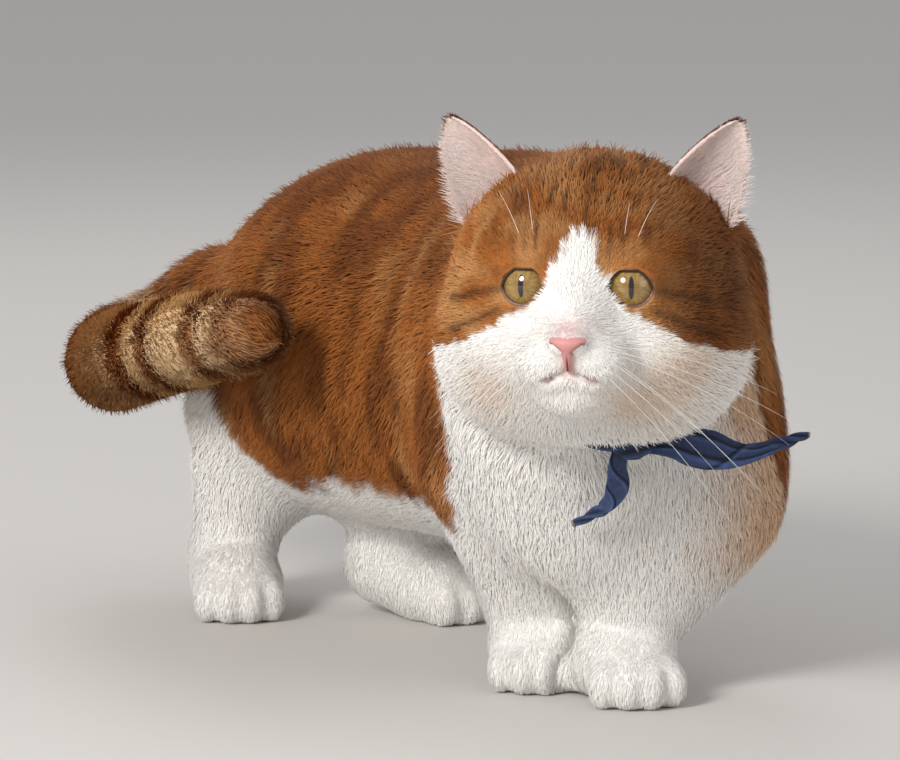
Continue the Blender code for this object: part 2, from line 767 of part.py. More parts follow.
def build():
    """Makes every node."""
    clear_scene()
    masses, hollows = all_masses(), head_hollows()
    body = fit_to_field(rough_body(masses, BODY_VOXEL, smooth_path(TRUNK, TRUNK_BALLS)), masses, hollows)
    thinned(body, BODY_TRIANGLES)
    face = [masses[0]] + head_masses()
    chest = smooth_path(TRUNK, TRUNK_BALLS)[-HEAD_BALLS:]
    head = fit_to_field(rough_body(face, HEAD_VOXEL, chest), masses, hollows)
    boolean(head, "INTERSECT", block(*head_box(), grow=0.003))
    thinned(head, HEAD_TRIANGLES)
    boolean(body, "DIFFERENCE", floor_block())
    boolean(body, "DIFFERENCE", block(*head_box(), grow=GAP))
    head = boolean(head, "INTERSECT", block(*head_box()))
    head.name = "head"
    head.data.materials.append(material("white"))
    make_eyes(head)
    make_ears(head)
    for name in FEET:
        side = "leg_" + name
        part_off(body, side, leg_box(name), "white")
    boolean(body, "DIFFERENCE", tail_box(TAIL_CUTS[0]))
    for i in range(len(TAIL_CUTS) - 1):
        tail_length(f"tail_{i + 1}", TAIL_CUTS[i], TAIL_CUTS[i + 1], "ginger")
    boolean(body, "DIFFERENCE", neckerchief("seat", GAP))
    boolean(head, "DIFFERENCE", neckerchief("seat", GAP))
    part_off(body, "neck", neck_box(), "white")
    body.name = "torso"
    body.data.materials.append(material("ginger"))
    neckerchief("neckerchief", 0.0)
    settle()


build()
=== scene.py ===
"""The looks of a life-size munchkin cat model.

It has one skin, a coat of solid tufts, eyes, nose, whiskers and a neckerchief. Units are metres.
Shapes are worked out in the modelling axes, where the trunk runs along Y, the chest faces -Y and the cat's
left side is +X. Every mesh is moved by PLAN_CENTRE as it is made, so that it lies on the CAD frame.
"""

import itertools
import math

import bmesh
import bpy
import numpy as np
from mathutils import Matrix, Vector


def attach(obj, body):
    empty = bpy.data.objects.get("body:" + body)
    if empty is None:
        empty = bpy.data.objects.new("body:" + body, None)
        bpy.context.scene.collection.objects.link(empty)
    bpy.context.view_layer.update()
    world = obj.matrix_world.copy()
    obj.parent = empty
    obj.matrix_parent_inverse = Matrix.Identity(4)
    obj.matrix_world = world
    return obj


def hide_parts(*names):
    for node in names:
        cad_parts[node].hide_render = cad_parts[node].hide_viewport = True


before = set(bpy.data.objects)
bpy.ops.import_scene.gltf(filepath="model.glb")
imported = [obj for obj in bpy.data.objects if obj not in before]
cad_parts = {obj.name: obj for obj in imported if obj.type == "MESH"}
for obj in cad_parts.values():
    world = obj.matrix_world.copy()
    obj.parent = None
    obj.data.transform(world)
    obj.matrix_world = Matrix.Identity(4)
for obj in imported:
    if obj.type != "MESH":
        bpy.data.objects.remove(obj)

# Middle of the cat's floor box, in the modelling axes
PLAN_CENTRE = (-0.00115, 0.02450)

# Trunk from rump to chest: x, y, z, half width, half height
TRUNK = (
    (0.012, 0.166, 0.106, 0.040, 0.050),
    (0.009, 0.132, 0.110, 0.057, 0.068),
    (0.013, 0.085, 0.118, 0.066, 0.077),
    (0.020, 0.025, 0.120, 0.067, 0.079),
    (0.021, -0.035, 0.120, 0.068, 0.079),
    (0.0155, -0.093, 0.103, 0.0705, 0.067),
)

# How far the trunk rounds out past its first and last rows, and how finely its table is read
TRUNK_END = 0.044
TRUNK_ROWS = 161

# Neck: where it leaves the trunk, and its radius there and at the head
NECK_FROM = (0.006, -0.080, 0.140)
NECK_RADII = (0.056, 0.050)

# Fullness over the left shoulder: middle and radius
SHOULDER = ((0.055, -0.062, 0.152), 0.038)

# Head: middle, the azimuth it faces (0 is -Y, negative turns to the cat's right), and the nose from there
HEAD = (-0.0285, -0.1445, 0.150)
HEAD_AZIMUTH = -39.0
NOSE_TIP = (0.0, 0.0705, 0.0005)

# Eyes: middle from the head's middle, ball, lids over it, half sizes of the opening, and the turn outwards
EYE_PLACE = (0.0179, 0.0408, 0.0172)
EYE_RADIUS = 0.0108
LID_THICKNESS = 0.0014
LID_ROLL = (0.00100, 0.00080)
EYE_OPENING = (0.0082, 0.0072)
EYE_TOE_OUT = 10.0

# Nose pad and the ridge under it: height, half width and forward reach from the head's middle
NOSE_ROWS = (
    (0.0046, 0.0018, 0.0722), (0.0034, 0.0036, 0.0742), (0.0021, 0.0054, 0.0760),
    (0.0007, 0.0066, 0.0771), (-0.0006, 0.0061, 0.0773), (-0.0020, 0.0047, 0.0769),
    (-0.0034, 0.0033, 0.0761), (-0.0052, 0.0022, 0.0751), (-0.0080, 0.0015, 0.0738),
    (-0.0104, 0.0010, 0.0722),
)

# Nostril on one side: a comma from its inner to its outer end, as across and up from the nose's middle
NOSTRIL_LINE = (0.0024, -0.0034, 0.0056, -0.0008)

# Height above which fur covers the nose pad
NOSE_FUR = 0.0020

# Ears: base and tip as left, forward, up from the head's middle, half width, turn outwards and wall
EAR_BASE = (0.0340, 0.000, 0.0360)
EAR_TIP = (0.0530, 0.003, 0.0735)
EAR_HALF_WIDTH = 0.0165
EAR_TOE_OUT = 22.0
EAR_WALL = 0.0016

# Feet: middle of the sole x, y, azimuth of the toes
FEET = {
    "front_right": (-0.0063, -0.0697, -36.0),
    "front_left": (0.0075, -0.1127, -22.0),
    "hind_right": (-0.0347, 0.1256, -25.0),
    "hind_left": (0.0323, 0.0787, 20.0),
}

# Paws: half sizes of the paw and of a toe, the toes' spacing, reach and the turn from one to the next
PAW_RADII = (0.0180, 0.0200, 0.0140)
TOE_RADII = (0.0062, 0.0095, 0.0090)
TOE_SPACING = 0.0083
TOE_REACH = 0.0190
TOE_FAN = 9.0

# Legs: top point, radius there, ankle point, radius there
LEGS = {
    "front_right": ((-0.014, -0.066, 0.085), 0.033, (-0.006, -0.064, 0.022), 0.0172),
    "front_left": ((0.0385, -0.0965, 0.072), 0.038, (0.010, -0.105, 0.022), 0.0172),
    "hind_right": ((-0.018, 0.140, 0.080), 0.0285, (-0.028, 0.142, 0.024), 0.0172),
    "hind_left": ((0.046, 0.112, 0.078), 0.036, (0.026, 0.098, 0.024), 0.0165),
}

# Heels of the hind legs
HEELS = {
    "hind_right": (-0.025, 0.157, 0.020),
    "hind_left": (0.021, 0.104, 0.019),
}
HEEL_RADIUS = 0.0150

# Cleft between the front legs: its middle, its half sizes along, across and up, and the way it runs
CLEFT = ((0.0006, -0.0912, 0.0), (0.040, 0.0024, 0.046))
CLEFT_AZIMUTH = 17.8

# Tail centreline from the rump round the bend to the tip, and radius at each point
TAIL = (
    (0.005, 0.185, 0.121, 0.0240),
    (0.003, 0.209, 0.117, 0.0230),
    (-0.007, 0.229, 0.109, 0.0225),
    (-0.029, 0.232, 0.100, 0.0225),
    (-0.052, 0.203, 0.099, 0.0220),
    (-0.067, 0.156, 0.107, 0.0215),
    (-0.075, 0.105, 0.117, 0.0205),
    (-0.077, 0.060, 0.126, 0.0190),
    (-0.078, 0.030, 0.131, 0.0165),
)
TAIL_ROWS = 81

# Neckerchief: the band's loop through throat and nape, and the width and thickness of the folded cloth
THROAT = (-0.0228, -0.1610, 0.1045)
NAPE = (-0.0050, -0.0880, 0.1900)
BAND_SIDE_RADIUS = 0.0550
BAND_SIZE = (0.0100, 0.0032)

# Groove in the coat and how far the band is sunk in it: at the knot, and on the rest of the neck
BAND_GROOVE = (0.0040, -0.0030)
GROOVE_FILLET = 0.0080
BAND_SUNK = (0.0015, 0.0065)

# Knot and the two free ends: the middle line of each, its half widths and the way its flat side faces
KNOT = (-0.0229, -0.1625, 0.1050)
KNOT_RADII = (0.0080, 0.0060, 0.0048)
LEAF_PATH = (
    (-0.0230, -0.1610, 0.1050), (-0.0170, -0.1646, 0.1049), (-0.0098, -0.1681, 0.1052),
    (-0.0033, -0.1701, 0.1039), (0.0065, -0.1712, 0.1022), (0.0158, -0.1708, 0.1004),
    (0.0243, -0.1699, 0.0999), (0.0328, -0.1690, 0.1012), (0.0398, -0.1685, 0.1029),
    (0.0453, -0.1682, 0.1039), (0.0505, -0.1677, 0.1050),
)
LEAF_HALF_WIDTHS = (0.0026, 0.0030, 0.0056, 0.0076, 0.0076, 0.0054, 0.0036, 0.0027, 0.0020, 0.0017, 0.0010)
LEAF_FACES = (-0.35, -0.85, 0.40)
TAIL_END_PATH = (
    (-0.0245, -0.1600, 0.1075), (-0.0254, -0.1560, 0.0982), (-0.0216, -0.1500, 0.0892),
    (-0.0214, -0.1450, 0.0826), (-0.0255, -0.1400, 0.0774), (-0.0319, -0.1350, 0.0731),
)
TAIL_END_HALF_WIDTHS = (0.0022, 0.0034, 0.0042, 0.0032, 0.0018, 0.0012)
TAIL_END_FACES = (-0.50, -0.85, 0.10)
CLOTH_HALF_THICKNESS = 0.0011

# Folds of each free end: height, place across at start and end, where they start and end along it, softness
LEAF_FOLDS = ((0.0017, 1.10, -1.30, 0.34, 0.66, 0.10), (0.0011, 0.30, 0.60, 0.16, 0.50, 0.22),
              (0.0010, -0.70, -0.20, 0.20, 0.60, 0.20))
TAIL_END_FOLDS = ((0.0013, 1.00, -1.10, 0.12, 0.46, 0.16), (0.0013, 1.30, -0.90, 0.34, 0.66, 0.14))

# Where along a free end its twisted rope starts, and how many turns the rope makes
ROPE_FROM = 0.64
ROPE_TURNS = 2.2

# Neckerchief blue in painted shade and in painted light, mixed by its folds; tan at the tips of the free ends
BLUE_IN_SHADE = np.array((0.006, 0.010, 0.028))
BLUE_IN_LIGHT = np.array((0.056, 0.096, 0.235))
TAN = np.array((0.45, 0.30, 0.16))

# How finely the pieces are meshed: round forms along the trunk and in a limb, then rows and points round each
TRUNK_BALLS = 22
LIMB_BALLS = 7
TAIL_AROUND = 40
TAIL_HIDDEN_ROWS = 6
EAR_MESH = (34, 30)
EYE_MESH = (110, 150)
LID_MESH = (120, 12)
NOSE_MESH = (90, 120)
FREE_END_MESH = (120, 96)
BAND_MESH = (240, 48)
KNOT_MESH = (60, 90)

# Skin mesh: size of its cells, rounds of fitting and how far the fitting looks to read a slope
SKIN_VOXEL = 0.0020
FIT_ROUNDS = 5
FIT_STEP = 0.0002

# Depth of the coat over the skin, and how much thinner it is on the chest
BODY_DEPTH = 0.0036
PAW_DEPTH = 0.0014
TAIL_DEPTH = 0.0038
HEAD_DEPTH = 0.0042
FACE_DEPTH = 0.0009
EAR_DEPTH = 0.0007
CHEST_THINNER = 0.46

# Coat: tufts drawn, most tufts in one piece, how much closer they stand on the ears, share that stands out
TUFTS = 285000
PIECE_TUFTS = 39000
EAR_DENSITY = 3.2
STRAY_SHARE = 0.10

# One tuft: where its seven corners are along it and to which side, and its five triangles
BLADE_STEPS = np.array((0.0, 0.0, 0.40, 0.40, 0.75, 0.75, 1.0))
BLADE_SIDES = np.array((-1.0, 1.0, -1.0, 1.0, -1.0, 1.0, 0.0))
BLADE_FACES = np.array(((0, 3, 1), (0, 2, 3), (2, 5, 3), (2, 4, 5), (4, 6, 5)))
CUP_HAIR_WIDTH = 0.00022

# How far a tuft takes its shading from the skin under it, and its size on the OFBake map
SKIN_SHADING = 0.75
TUFT_PATCH = 0.003

# Regions of the coat: height of the legs, and the pole, middle and stretch of the unwrap of trunk and tail
LEG_TOP = 0.046
TRUNK_UNWRAP = ((0, 0, 1), (0.014, 0.03, 0.115), (0.066, 0.15, 0.078))
TAIL_UNWRAP = ((0, 1, 0), (-0.045, 0.15, 0.11), (0.05, 0.1, 0.03))

# Whiskers: side, shortest and longest, and how far they sweep back; then the heights of their rows
WHISKER_SIDES = ((-1, 0.040, 0.052, 0.50), (1, 0.050, 0.075, 0.40))
WHISKER_ROWS = (-0.0030, -0.0062, -0.0092, -0.0118)
WHISKER_RADIUS = 0.00008
WHISKER_TIP = 0.00002
WHISKER_SEED = 17
WHISKER_RINGS = 14
WHISKER_AROUND = 5

# Camera: place in the modelling axes, azimuth and elevation it looks along, lens and sensor in mm
CAMERA_PLACE = (-0.9894, -1.7035, 0.3621)
CAMERA_AZIMUTH = -30.0
CAMERA_ELEVATION = 7.3
CAMERA_LENS = 202.08
CAMERA_SENSOR = 36.0

# Studio: lamps by place, size, power and colour, what they shine at, the sky and the floor
LAMPS = {
    "key": ((-2.0, -1.05, 1.3), 0.75, 52, (1.0, 0.98, 0.95)),
    "fill": ((1.0, -1.9, 0.8), 1.4, 5, (1.0, 0.97, 0.92)),
    "rim": ((0.5, 1.4, 1.5), 1.0, 6, (1, 1, 1)),
}
LAMPS_AIM = (0, -0.05, 0.12)
SKY_COLOUR = (0.80, 0.80, 0.82, 1)
SKY_STRENGTH = 0.61
FLOOR_REACH = 6
FLOOR_COLOUR = (0.66, 0.64, 0.61)

# Colours of the coat and skin, linear
GINGER = np.array((0.385, 0.128, 0.026))
BUFF = np.array((0.62, 0.34, 0.135))
TABBY = np.array((0.138, 0.041, 0.009))
BROWN = np.array((0.060, 0.024, 0.010))
CREAM = np.array((0.88, 0.68, 0.42))
WHITE = np.array((0.86, 0.845, 0.815))
PINK = np.array((0.80, 0.60, 0.55))
LIP = np.array((0.30, 0.120, 0.115))
NOSE_PINK = np.array((0.62, 0.27, 0.26))
# Nostril: near-black, painted shade for the inside of the nostrils and the groove under the pad
NOSTRIL = np.array((0.070, 0.022, 0.020))
PALE_PINK = np.array((0.78, 0.56, 0.52))

# Colours of the eyes and of the rim of the lids
AMBER = np.array((0.21, 0.120, 0.030))
GOLD = np.array((0.38, 0.245, 0.066))
IRIS_MIDDLE = np.array((0.22, 0.11, 0.02))
IRIS_EDGE = np.array((0.05, 0.028, 0.012))
PUPIL = np.array((0.004, 0.003, 0.003))
EYE_CORNER = np.array((0.05, 0.03, 0.02))
UPPER_LID = np.array((0.030, 0.016, 0.012))
LOWER_LID = np.array((0.26, 0.15, 0.13))
WHISKER_WHITE = (0.9, 0.89, 0.86)

# How pale the tail is along it, from 0 ginger to 1 cream
TAIL_BANDS = (
    (0.00, 0.0), (0.14, 0.0), (0.20, 0.4), (0.26, 0.0), (0.33, 0.5), (0.39, 0.1), (0.45, 0.5), (0.49, 0.1),
    (0.520, 0.10), (0.540, 0.50), (0.670, 0.60), (0.684, 0.0), (0.716, 0.0), (0.726, 0.95), (0.750, 0.95),
    (0.759, 0.0), (0.781, 0.0), (0.790, 1.0), (0.855, 1.0), (0.866, 0.10), (0.912, 0.20), (0.924, 0.90),
    (0.950, 0.90), (0.965, 0.20), (1.0, 0.20),
)

# Orange mark at the tail's tip: its middle and radius
TAIL_TIP_SPOT = (-0.0807, 0.0137, 0.1367)
TAIL_TIP_MARK = 0.0085

# White blaze and muzzle: height above the head's middle and half width there
BLAZE = (
    (-0.0120, 0.080), (-0.0090, 0.055), (-0.0050, 0.044), (-0.0010, 0.036), (0.0040, 0.0275),
    (0.0090, 0.0200), (0.0130, 0.0150), (0.0187, 0.0112), (0.0260, 0.0082), (0.0310, 0.0055),
    (0.0360, 0.0020), (0.0400, -0.0050),
)

# Buff patches on the white of the cheeks: left, up and radius, from the head's middle
# Their buff is partly fur and partly painted warm bounce light in the shade under the head
CHEEK_PATCHES = ((0.0400, -0.0100, 0.0110), (0.0300, -0.0210, 0.0120), (0.0180, -0.0260, 0.0090),
                 (-0.0330, -0.0220, 0.0110))

# Dark lines from the outer corner of each eye: ends as outward and up, and half width
EYE_LINES = ((0.0275, 0.0160, 0.0460, 0.0100, 0.0016), (0.0285, 0.0080, 0.0470, -0.0010, 0.0016))

# Lower edge of the ginger on the flank: y and height
FLANK_EDGE = (
    (-0.075, 0.062), (-0.002, 0.066), (0.050, 0.065), (0.090, 0.057), (0.102, 0.0645),
    (0.113, 0.079), (0.120, 0.094), (0.150, 0.098), (0.220, 0.100),
)

# Front edge of the ginger on the shoulder: height and y, and how much further forward it is on the left side
SHOULDER_EDGE = (
    (0.060, -0.066), (0.085, -0.081), (0.105, -0.087), (0.125, -0.092), (0.150, -0.120), (0.175, -0.16),
)
LEFT_SHOULDER = 0.048


def axes(azimuth, pitch=0.0):
    """Left, forward and up directions of something that faces an azimuth."""
    turn, lift = math.radians(azimuth), math.radians(pitch)
    left = np.array([math.cos(turn), math.sin(turn), 0.0])
    forward = np.array([math.sin(turn) * math.cos(lift), -math.cos(turn) * math.cos(lift), math.sin(lift)])
    return np.array([left, forward, np.cross(forward, left)])


def spot(origin, azimuth, offset):
    """World place of an offset given as left, forward, up."""
    return np.array(origin) + np.array(offset) @ axes(azimuth)


def around(count):
    """Even angles all the way round, the last one short of the first."""
    return np.linspace(0, 2 * math.pi, count, endpoint=False)


def smooth_step(low, high, value):
    """0 at low, 1 at high and an even S between them."""
    share = np.clip((value - low) / (high - low), 0.0, 1.0)
    return share * share * (3 - 2 * share)


def unit(rows):
    """Rows scaled to length 1."""
    return rows / np.maximum(np.linalg.norm(rows, axis=-1, keepdims=True), 1e-12)


def smooth_path(given, count):
    """A smooth curve through the rows of given, read at even steps."""
    given = np.array(given, dtype=float)
    at = np.linspace(0, len(given) - 1, count)
    whole = np.clip(at.astype(int), 0, len(given) - 2)
    share = (at - whole)[:, None]
    padded = np.vstack([2 * given[0] - given[1], given, 2 * given[-1] - given[-2]])
    a, b, c, d = (padded[whole + step] for step in range(4))
    return 0.5 * (2 * b + (c - a) * share + (2 * a - 5 * b + 4 * c - d) * share ** 2
                  + (3 * b - a - 3 * c + d) * share ** 3)


def noise(points, spacing, seed):
    """Smooth random values from -1 to 1: seeded values at the corners of cells, blended across each cell."""
    table = np.random.default_rng(seed).uniform(-1, 1, 4096)
    at = points / np.array(spacing)
    cell = np.floor(at).astype(np.int64)
    share = at - cell
    share = share * share * (3 - 2 * share)
    total = np.zeros(len(points))
    for corner in itertools.product((0, 1), repeat=3):
        x, y, z = (cell + corner).T
        key = (x * 73856093 ^ y * 19349663 ^ z * 83492791) & 4095
        total += np.prod(np.where(corner, share, 1 - share), axis=1) * table[key]
    return total


def mix(first, second, share):
    """Rows of first blended into second by share."""
    share = np.asarray(share)[..., None]
    return first * (1 - share) + second * share


def line_gap(across, up, ends):
    """Distance in a plane from points to a straight line between two ends."""
    start, end = np.array(ends[:2]), np.array(ends[2:4])
    along = end - start
    at = np.column_stack([across, up]) - start
    share = np.clip(at @ along / (along @ along), 0, 1)
    return np.linalg.norm(at - share[:, None] * along, axis=1)


def ball(centre, radii, azimuth=0.0, pitch=0.0, blend=0.010):
    """An ellipsoid mass, with its radii as left, forward, up."""
    return {"kind": "ball", "centre": np.array(centre), "radii": np.array(radii),
            "axes": axes(azimuth, pitch), "blend": blend}


def limb(start, end, start_radius, end_radius, blend=0.012):
    """A round mass that tapers from one point to another."""
    return {"kind": "limb", "start": np.array(start), "end": np.array(end),
            "radii": (start_radius, end_radius), "blend": blend}


def head_ball(offset, radii, pitch=0.0, blend=0.008):
    """A ball placed in the head's own left, forward, up."""
    return ball(spot(HEAD, HEAD_AZIMUTH, offset), radii, HEAD_AZIMUTH, pitch, blend)


def head_limb(start, end, start_radius, end_radius, blend=0.008):
    """A limb placed in the head's own left, forward, up."""
    start, end = spot(HEAD, HEAD_AZIMUTH, start), spot(HEAD, HEAD_AZIMUTH, end)
    return limb(start, end, start_radius, end_radius, blend)


def sided(offset, side):
    """An offset from the head's middle on the left side, or its mirror on the right."""
    return offset[0] * side, offset[1], offset[2]


def head_masses():
    """Skull, cheeks, brows, lids, muzzle and chin."""
    masses = [
        head_ball((0, -0.002, 0.018), (0.0500, 0.0490, 0.0440), blend=0.02),
        head_ball((0, 0.044, -0.008), (0.0210, 0.0200, 0.0175), blend=0.016),
        head_limb((0, 0.036, 0.021), (0, 0.0625, 0.0030), 0.0125, 0.0082, blend=0.012),
        head_ball(NOSE_TIP, (0.0068, 0.0060, 0.0052), blend=0.003),
        head_ball((0, 0.0550, -0.0200), (0.0115, 0.0095, 0.0072), blend=0.011),
    ]
    for side in (-1, 1):
        masses += [
            head_ball((0.0255 * side, 0.006, -0.010), (0.0325, 0.0352, 0.0310), blend=0.014),
            head_ball((0.0240 * side, 0.036, -0.004), (0.0170, 0.0130, 0.0120), blend=0.012),
            head_ball((0.0200 * side, 0.034, 0.0305), (0.0150, 0.0095, 0.0060), blend=0.012),
            head_ball((0.0082 * side, 0.0590, -0.0080), (0.0112, 0.0122, 0.0092), blend=0.008),
            head_ball(sided(EYE_PLACE, side), (EYE_RADIUS + LID_THICKNESS,) * 3, blend=0.005),
        ]
    return masses


def lip_line(side):
    """Points of the line of the mouth from the middle to one corner."""
    return (0.0, 0.0708, -0.0108), (0.0045 * side, 0.0696, -0.0128), (0.0088 * side, 0.0676, -0.0141)


def hollow_masses():
    """The groove under the nose, the line of the mouth and the cleft between the front legs."""
    hollows = [
        head_limb((0, 0.0740, -0.0060), (0, 0.0712, -0.0108), 0.0009, 0.0009, blend=0.0015),
        ball(*CLEFT, CLEFT_AZIMUTH, blend=0.004),
    ]
    for side in (-1, 1):
        middle, bend, corner = lip_line(side)
        hollows += [
            head_limb(middle, bend, 0.0012, 0.0012, blend=0.0015),
            head_limb(bend, corner, 0.0012, 0.0008, blend=0.0015),
        ]
    return hollows


def leg_masses(name):
    """One leg, its paw and four toes."""
    top, top_radius, ankle, ankle_radius = LEGS[name]
    x, y, azimuth = FEET[name]
    sole = (x, y, 0.0)
    masses = [limb(top, ankle, top_radius, ankle_radius, blend=0.022)]
    if name in HEELS:
        instep = spot(sole, azimuth, (0, 0.0, 0.0150))
        masses.append(limb(HEELS[name], instep, HEEL_RADIUS, HEEL_RADIUS, blend=0.012))
    paw = spot(sole, azimuth, (0, 0.002, 0.0120))
    masses.append(ball(paw, PAW_RADII, azimuth, blend=0.010))
    for place in (-1.5, -0.5, 0.5, 1.5):
        toe = spot(sole, azimuth, (TOE_SPACING * place, TOE_REACH - 0.0022 * place * place, 0.0085))
        masses.append(ball(toe, TOE_RADII, azimuth + TOE_FAN * place, blend=0.0050))
    return masses


def all_masses():
    """Every mass but the trunk and the free tail, in the order in which they blend."""
    place, radius = SHOULDER
    masses = [limb(NECK_FROM, HEAD, *NECK_RADII, blend=0.035), ball(place, (radius,) * 3, blend=0.020)]
    for name in FEET:
        masses += leg_masses(name)
    for start, end in zip(TAIL[:2], TAIL[1:3]):
        masses.append(limb(start[:3], end[:3], start[3], end[3], blend=0.02))
    return masses + head_masses()


def mass_field(points, mass):
    """Signed distance to one mass, near its surface."""
    if mass["kind"] == "ball":
        local = (points - mass["centre"]) @ mass["axes"].T
        scaled = np.linalg.norm(local / mass["radii"], axis=1)
        slope = np.linalg.norm(local / mass["radii"] ** 2, axis=1)
        return scaled * (scaled - 1.0) / np.maximum(slope, 1e-9)
    along = mass["end"] - mass["start"]
    share = np.clip((points - mass["start"]) @ along / (along @ along), 0.0, 1.0)
    nearest = mass["start"] + share[:, None] * along
    radius = mass["radii"][0] + share * (mass["radii"][1] - mass["radii"][0])
    return np.linalg.norm(points - nearest, axis=1) - radius


def trunk_field(points):
    """Distance to a bent bar whose section is an ellipse that changes along it, with rounded ends."""
    table = smooth_path(TRUNK[::-1], TRUNK_ROWS)
    y = np.clip(points[:, 1], table[0, 1], table[-1, 1])
    x, z, wide, high = (np.interp(y, table[:, 1], table[:, column]) for column in (0, 2, 3, 4))
    beyond = points[:, 1] - y
    ends = table[[1, -1]] - table[[0, -2]]
    lean = np.where(beyond[:, None] < 0, ends[0] / ends[0, 1], ends[1] / ends[1, 1]) * beyond[:, None]
    sideways, upright = points[:, 0] - x - lean[:, 0], points[:, 2] - z - lean[:, 2]
    scaled = np.sqrt((sideways / wide) ** 2 + (upright / high) ** 2 + (beyond / TRUNK_END) ** 2)
    return (scaled - 1.0) * np.minimum(wide, high)


def blend_in(first, second, width):
    """Joins two distances with a fillet of about the given width."""
    near = np.maximum(width - np.abs(first - second), 0.0) / width
    return np.minimum(first, second) - near * near * width / 4


def band_frame():
    """Middle of the band's loop, its directions across, along and out of its plane, and its two radii."""
    throat, nape = np.array(THROAT), np.array(NAPE)
    along = (nape - throat) / np.linalg.norm(nape - throat)
    across = np.array([along[1], -along[0], 0.0]) / math.hypot(along[0], along[1])
    radii = (BAND_SIDE_RADIUS, np.linalg.norm(nape - throat) / 2)
    return (throat + nape) / 2, np.array([across, along, np.cross(across, along)]), radii


def band_places(points):
    """Distance to the closed line of the neckerchief's band, and nearness to the knot from 0 to 1."""
    middle, directions, radii = band_frame()
    ring = unit((points - middle) @ directions[:2].T / radii)
    knot = unit((np.array(KNOT) - middle) @ directions[:2].T / radii)
    near = smooth_step(0.86, 0.98, ring @ knot)
    return np.linalg.norm(points - middle - (ring * radii) @ directions[:2], axis=1), near


def mass_reach(mass):
    """Middle of a mass and how far from it a point can be and still feel it."""
    if mass["kind"] == "ball":
        return mass["centre"], mass["radii"].max() + 2 * mass["blend"] + 0.012
    middle = (mass["start"] + mass["end"]) / 2
    return middle, np.linalg.norm(mass["end"] - middle) + max(mass["radii"]) + 2 * mass["blend"] + 0.012


def body_field(points, masses, hollows):
    """Distance to the whole blended cat, out to the tips of its coat. Each mass is felt only near by."""
    field = trunk_field(points)
    for sign, group in ((1, masses), (-1, hollows)):
        for mass in group:
            middle, reach = mass_reach(mass)
            near = np.flatnonzero(((points - middle) ** 2).sum(1) < reach * reach)
            field[near] = sign * blend_in(sign * field[near], mass_field(points[near], mass), mass["blend"])
    gap, near = band_places(points)
    groove = BAND_GROOVE[1] + (BAND_GROOVE[0] - BAND_GROOVE[1]) * near
    return -blend_in(-field, gap - groove, GROOVE_FILLET)


def head_local(points):
    """Points as left, forward, up from the head's middle."""
    return (points - np.array(HEAD)) @ axes(HEAD_AZIMUTH).T


def head_share(points):
    """1 on the head, 0 on the body, with a soft change at the neck."""
    left, forward, up = (head_local(points) - (0, 0.004, 0.010)).T
    forward = np.where(forward > 0, 0.45 * forward, forward)
    low = np.where(up > 0, up, 0.88 * up)
    return 1 - smooth_step(0.053, 0.068, np.sqrt((0.85 * left) ** 2 + forward ** 2 + low ** 2))


def eye_gap(local, side):
    """How far points given from the head's middle are from an eyeball."""
    return np.linalg.norm(local - sided(EYE_PLACE, side), axis=1) - EYE_RADIUS


def lip_gap(points, sides=(-1, 1)):
    """How far points are from the line of the mouth."""
    gaps = []
    for side in sides:
        middle, bend, corner = lip_line(side)
        gaps += [mass_field(points, head_limb(*ends, 0.0, 0.0)) for ends in ((middle, bend), (bend, corner))]
    return np.min(gaps, axis=0)


def coat_depth(points):
    """Depth of the coat: deep on the body, shallow on the face and feet, and none at the nose."""
    local = head_local(points)
    face = smooth_step(-0.004, 0.050, local[:, 1])
    head = HEAD_DEPTH * (1 - face) + FACE_DEPTH * face
    for side in (-1, 1):
        head = np.minimum(head, 0.0004 + 0.14 * np.maximum(eye_gap(local, side) - 0.0010, 0))
    head = np.minimum(head, 0.0002 + 0.10 * lip_gap(points))
    nose_gap = np.linalg.norm((local - NOSE_TIP) / (1.1, 1.0, 1.0), axis=1) - 0.0060
    head = np.minimum(head, 0.0001 + 0.10 * np.maximum(nose_gap, 0))
    body = PAW_DEPTH + (BODY_DEPTH - PAW_DEPTH) * smooth_step(0.014, 0.058, points[:, 2])
    chest = np.maximum(smooth_step(0.100, 0.070, points[:, 2]), smooth_step(-0.060, -0.100, points[:, 1]))
    body = body * (1 - CHEST_THINNER * chest)
    share = head_share(points)
    return head * share + body * (1 - share)


def new_object(name, data, finish=None):
    """Links a mesh, lamp or camera as an object."""
    made = bpy.data.objects.new(name, data)
    bpy.context.scene.collection.objects.link(made)
    if finish:
        data.materials.append(finish)
    return made


def vertices(thing):
    """An object's vertices as an array."""
    flat = np.empty(len(thing.data.vertices) * 3)
    thing.data.vertices.foreach_get("co", flat)
    return flat.reshape(-1, 3)


def applied(thing):
    """Applies an object's modifiers."""
    seen = thing.evaluated_get(bpy.context.evaluated_depsgraph_get())
    mesh = bpy.data.meshes.new_from_object(seen)
    thing.modifiers.clear()
    old, thing.data = thing.data, mesh
    bpy.data.meshes.remove(old)
    return thing


def add_ellipsoid(form, centre, radii, directions):
    """Adds a closed round form to a bmesh."""
    made = bmesh.ops.create_icosphere(form, subdivisions=3, radius=1.0)["verts"]
    for vert in made:
        vert.co = np.array(centre) + (np.array(vert.co) * radii) @ directions
    form.normal_update()


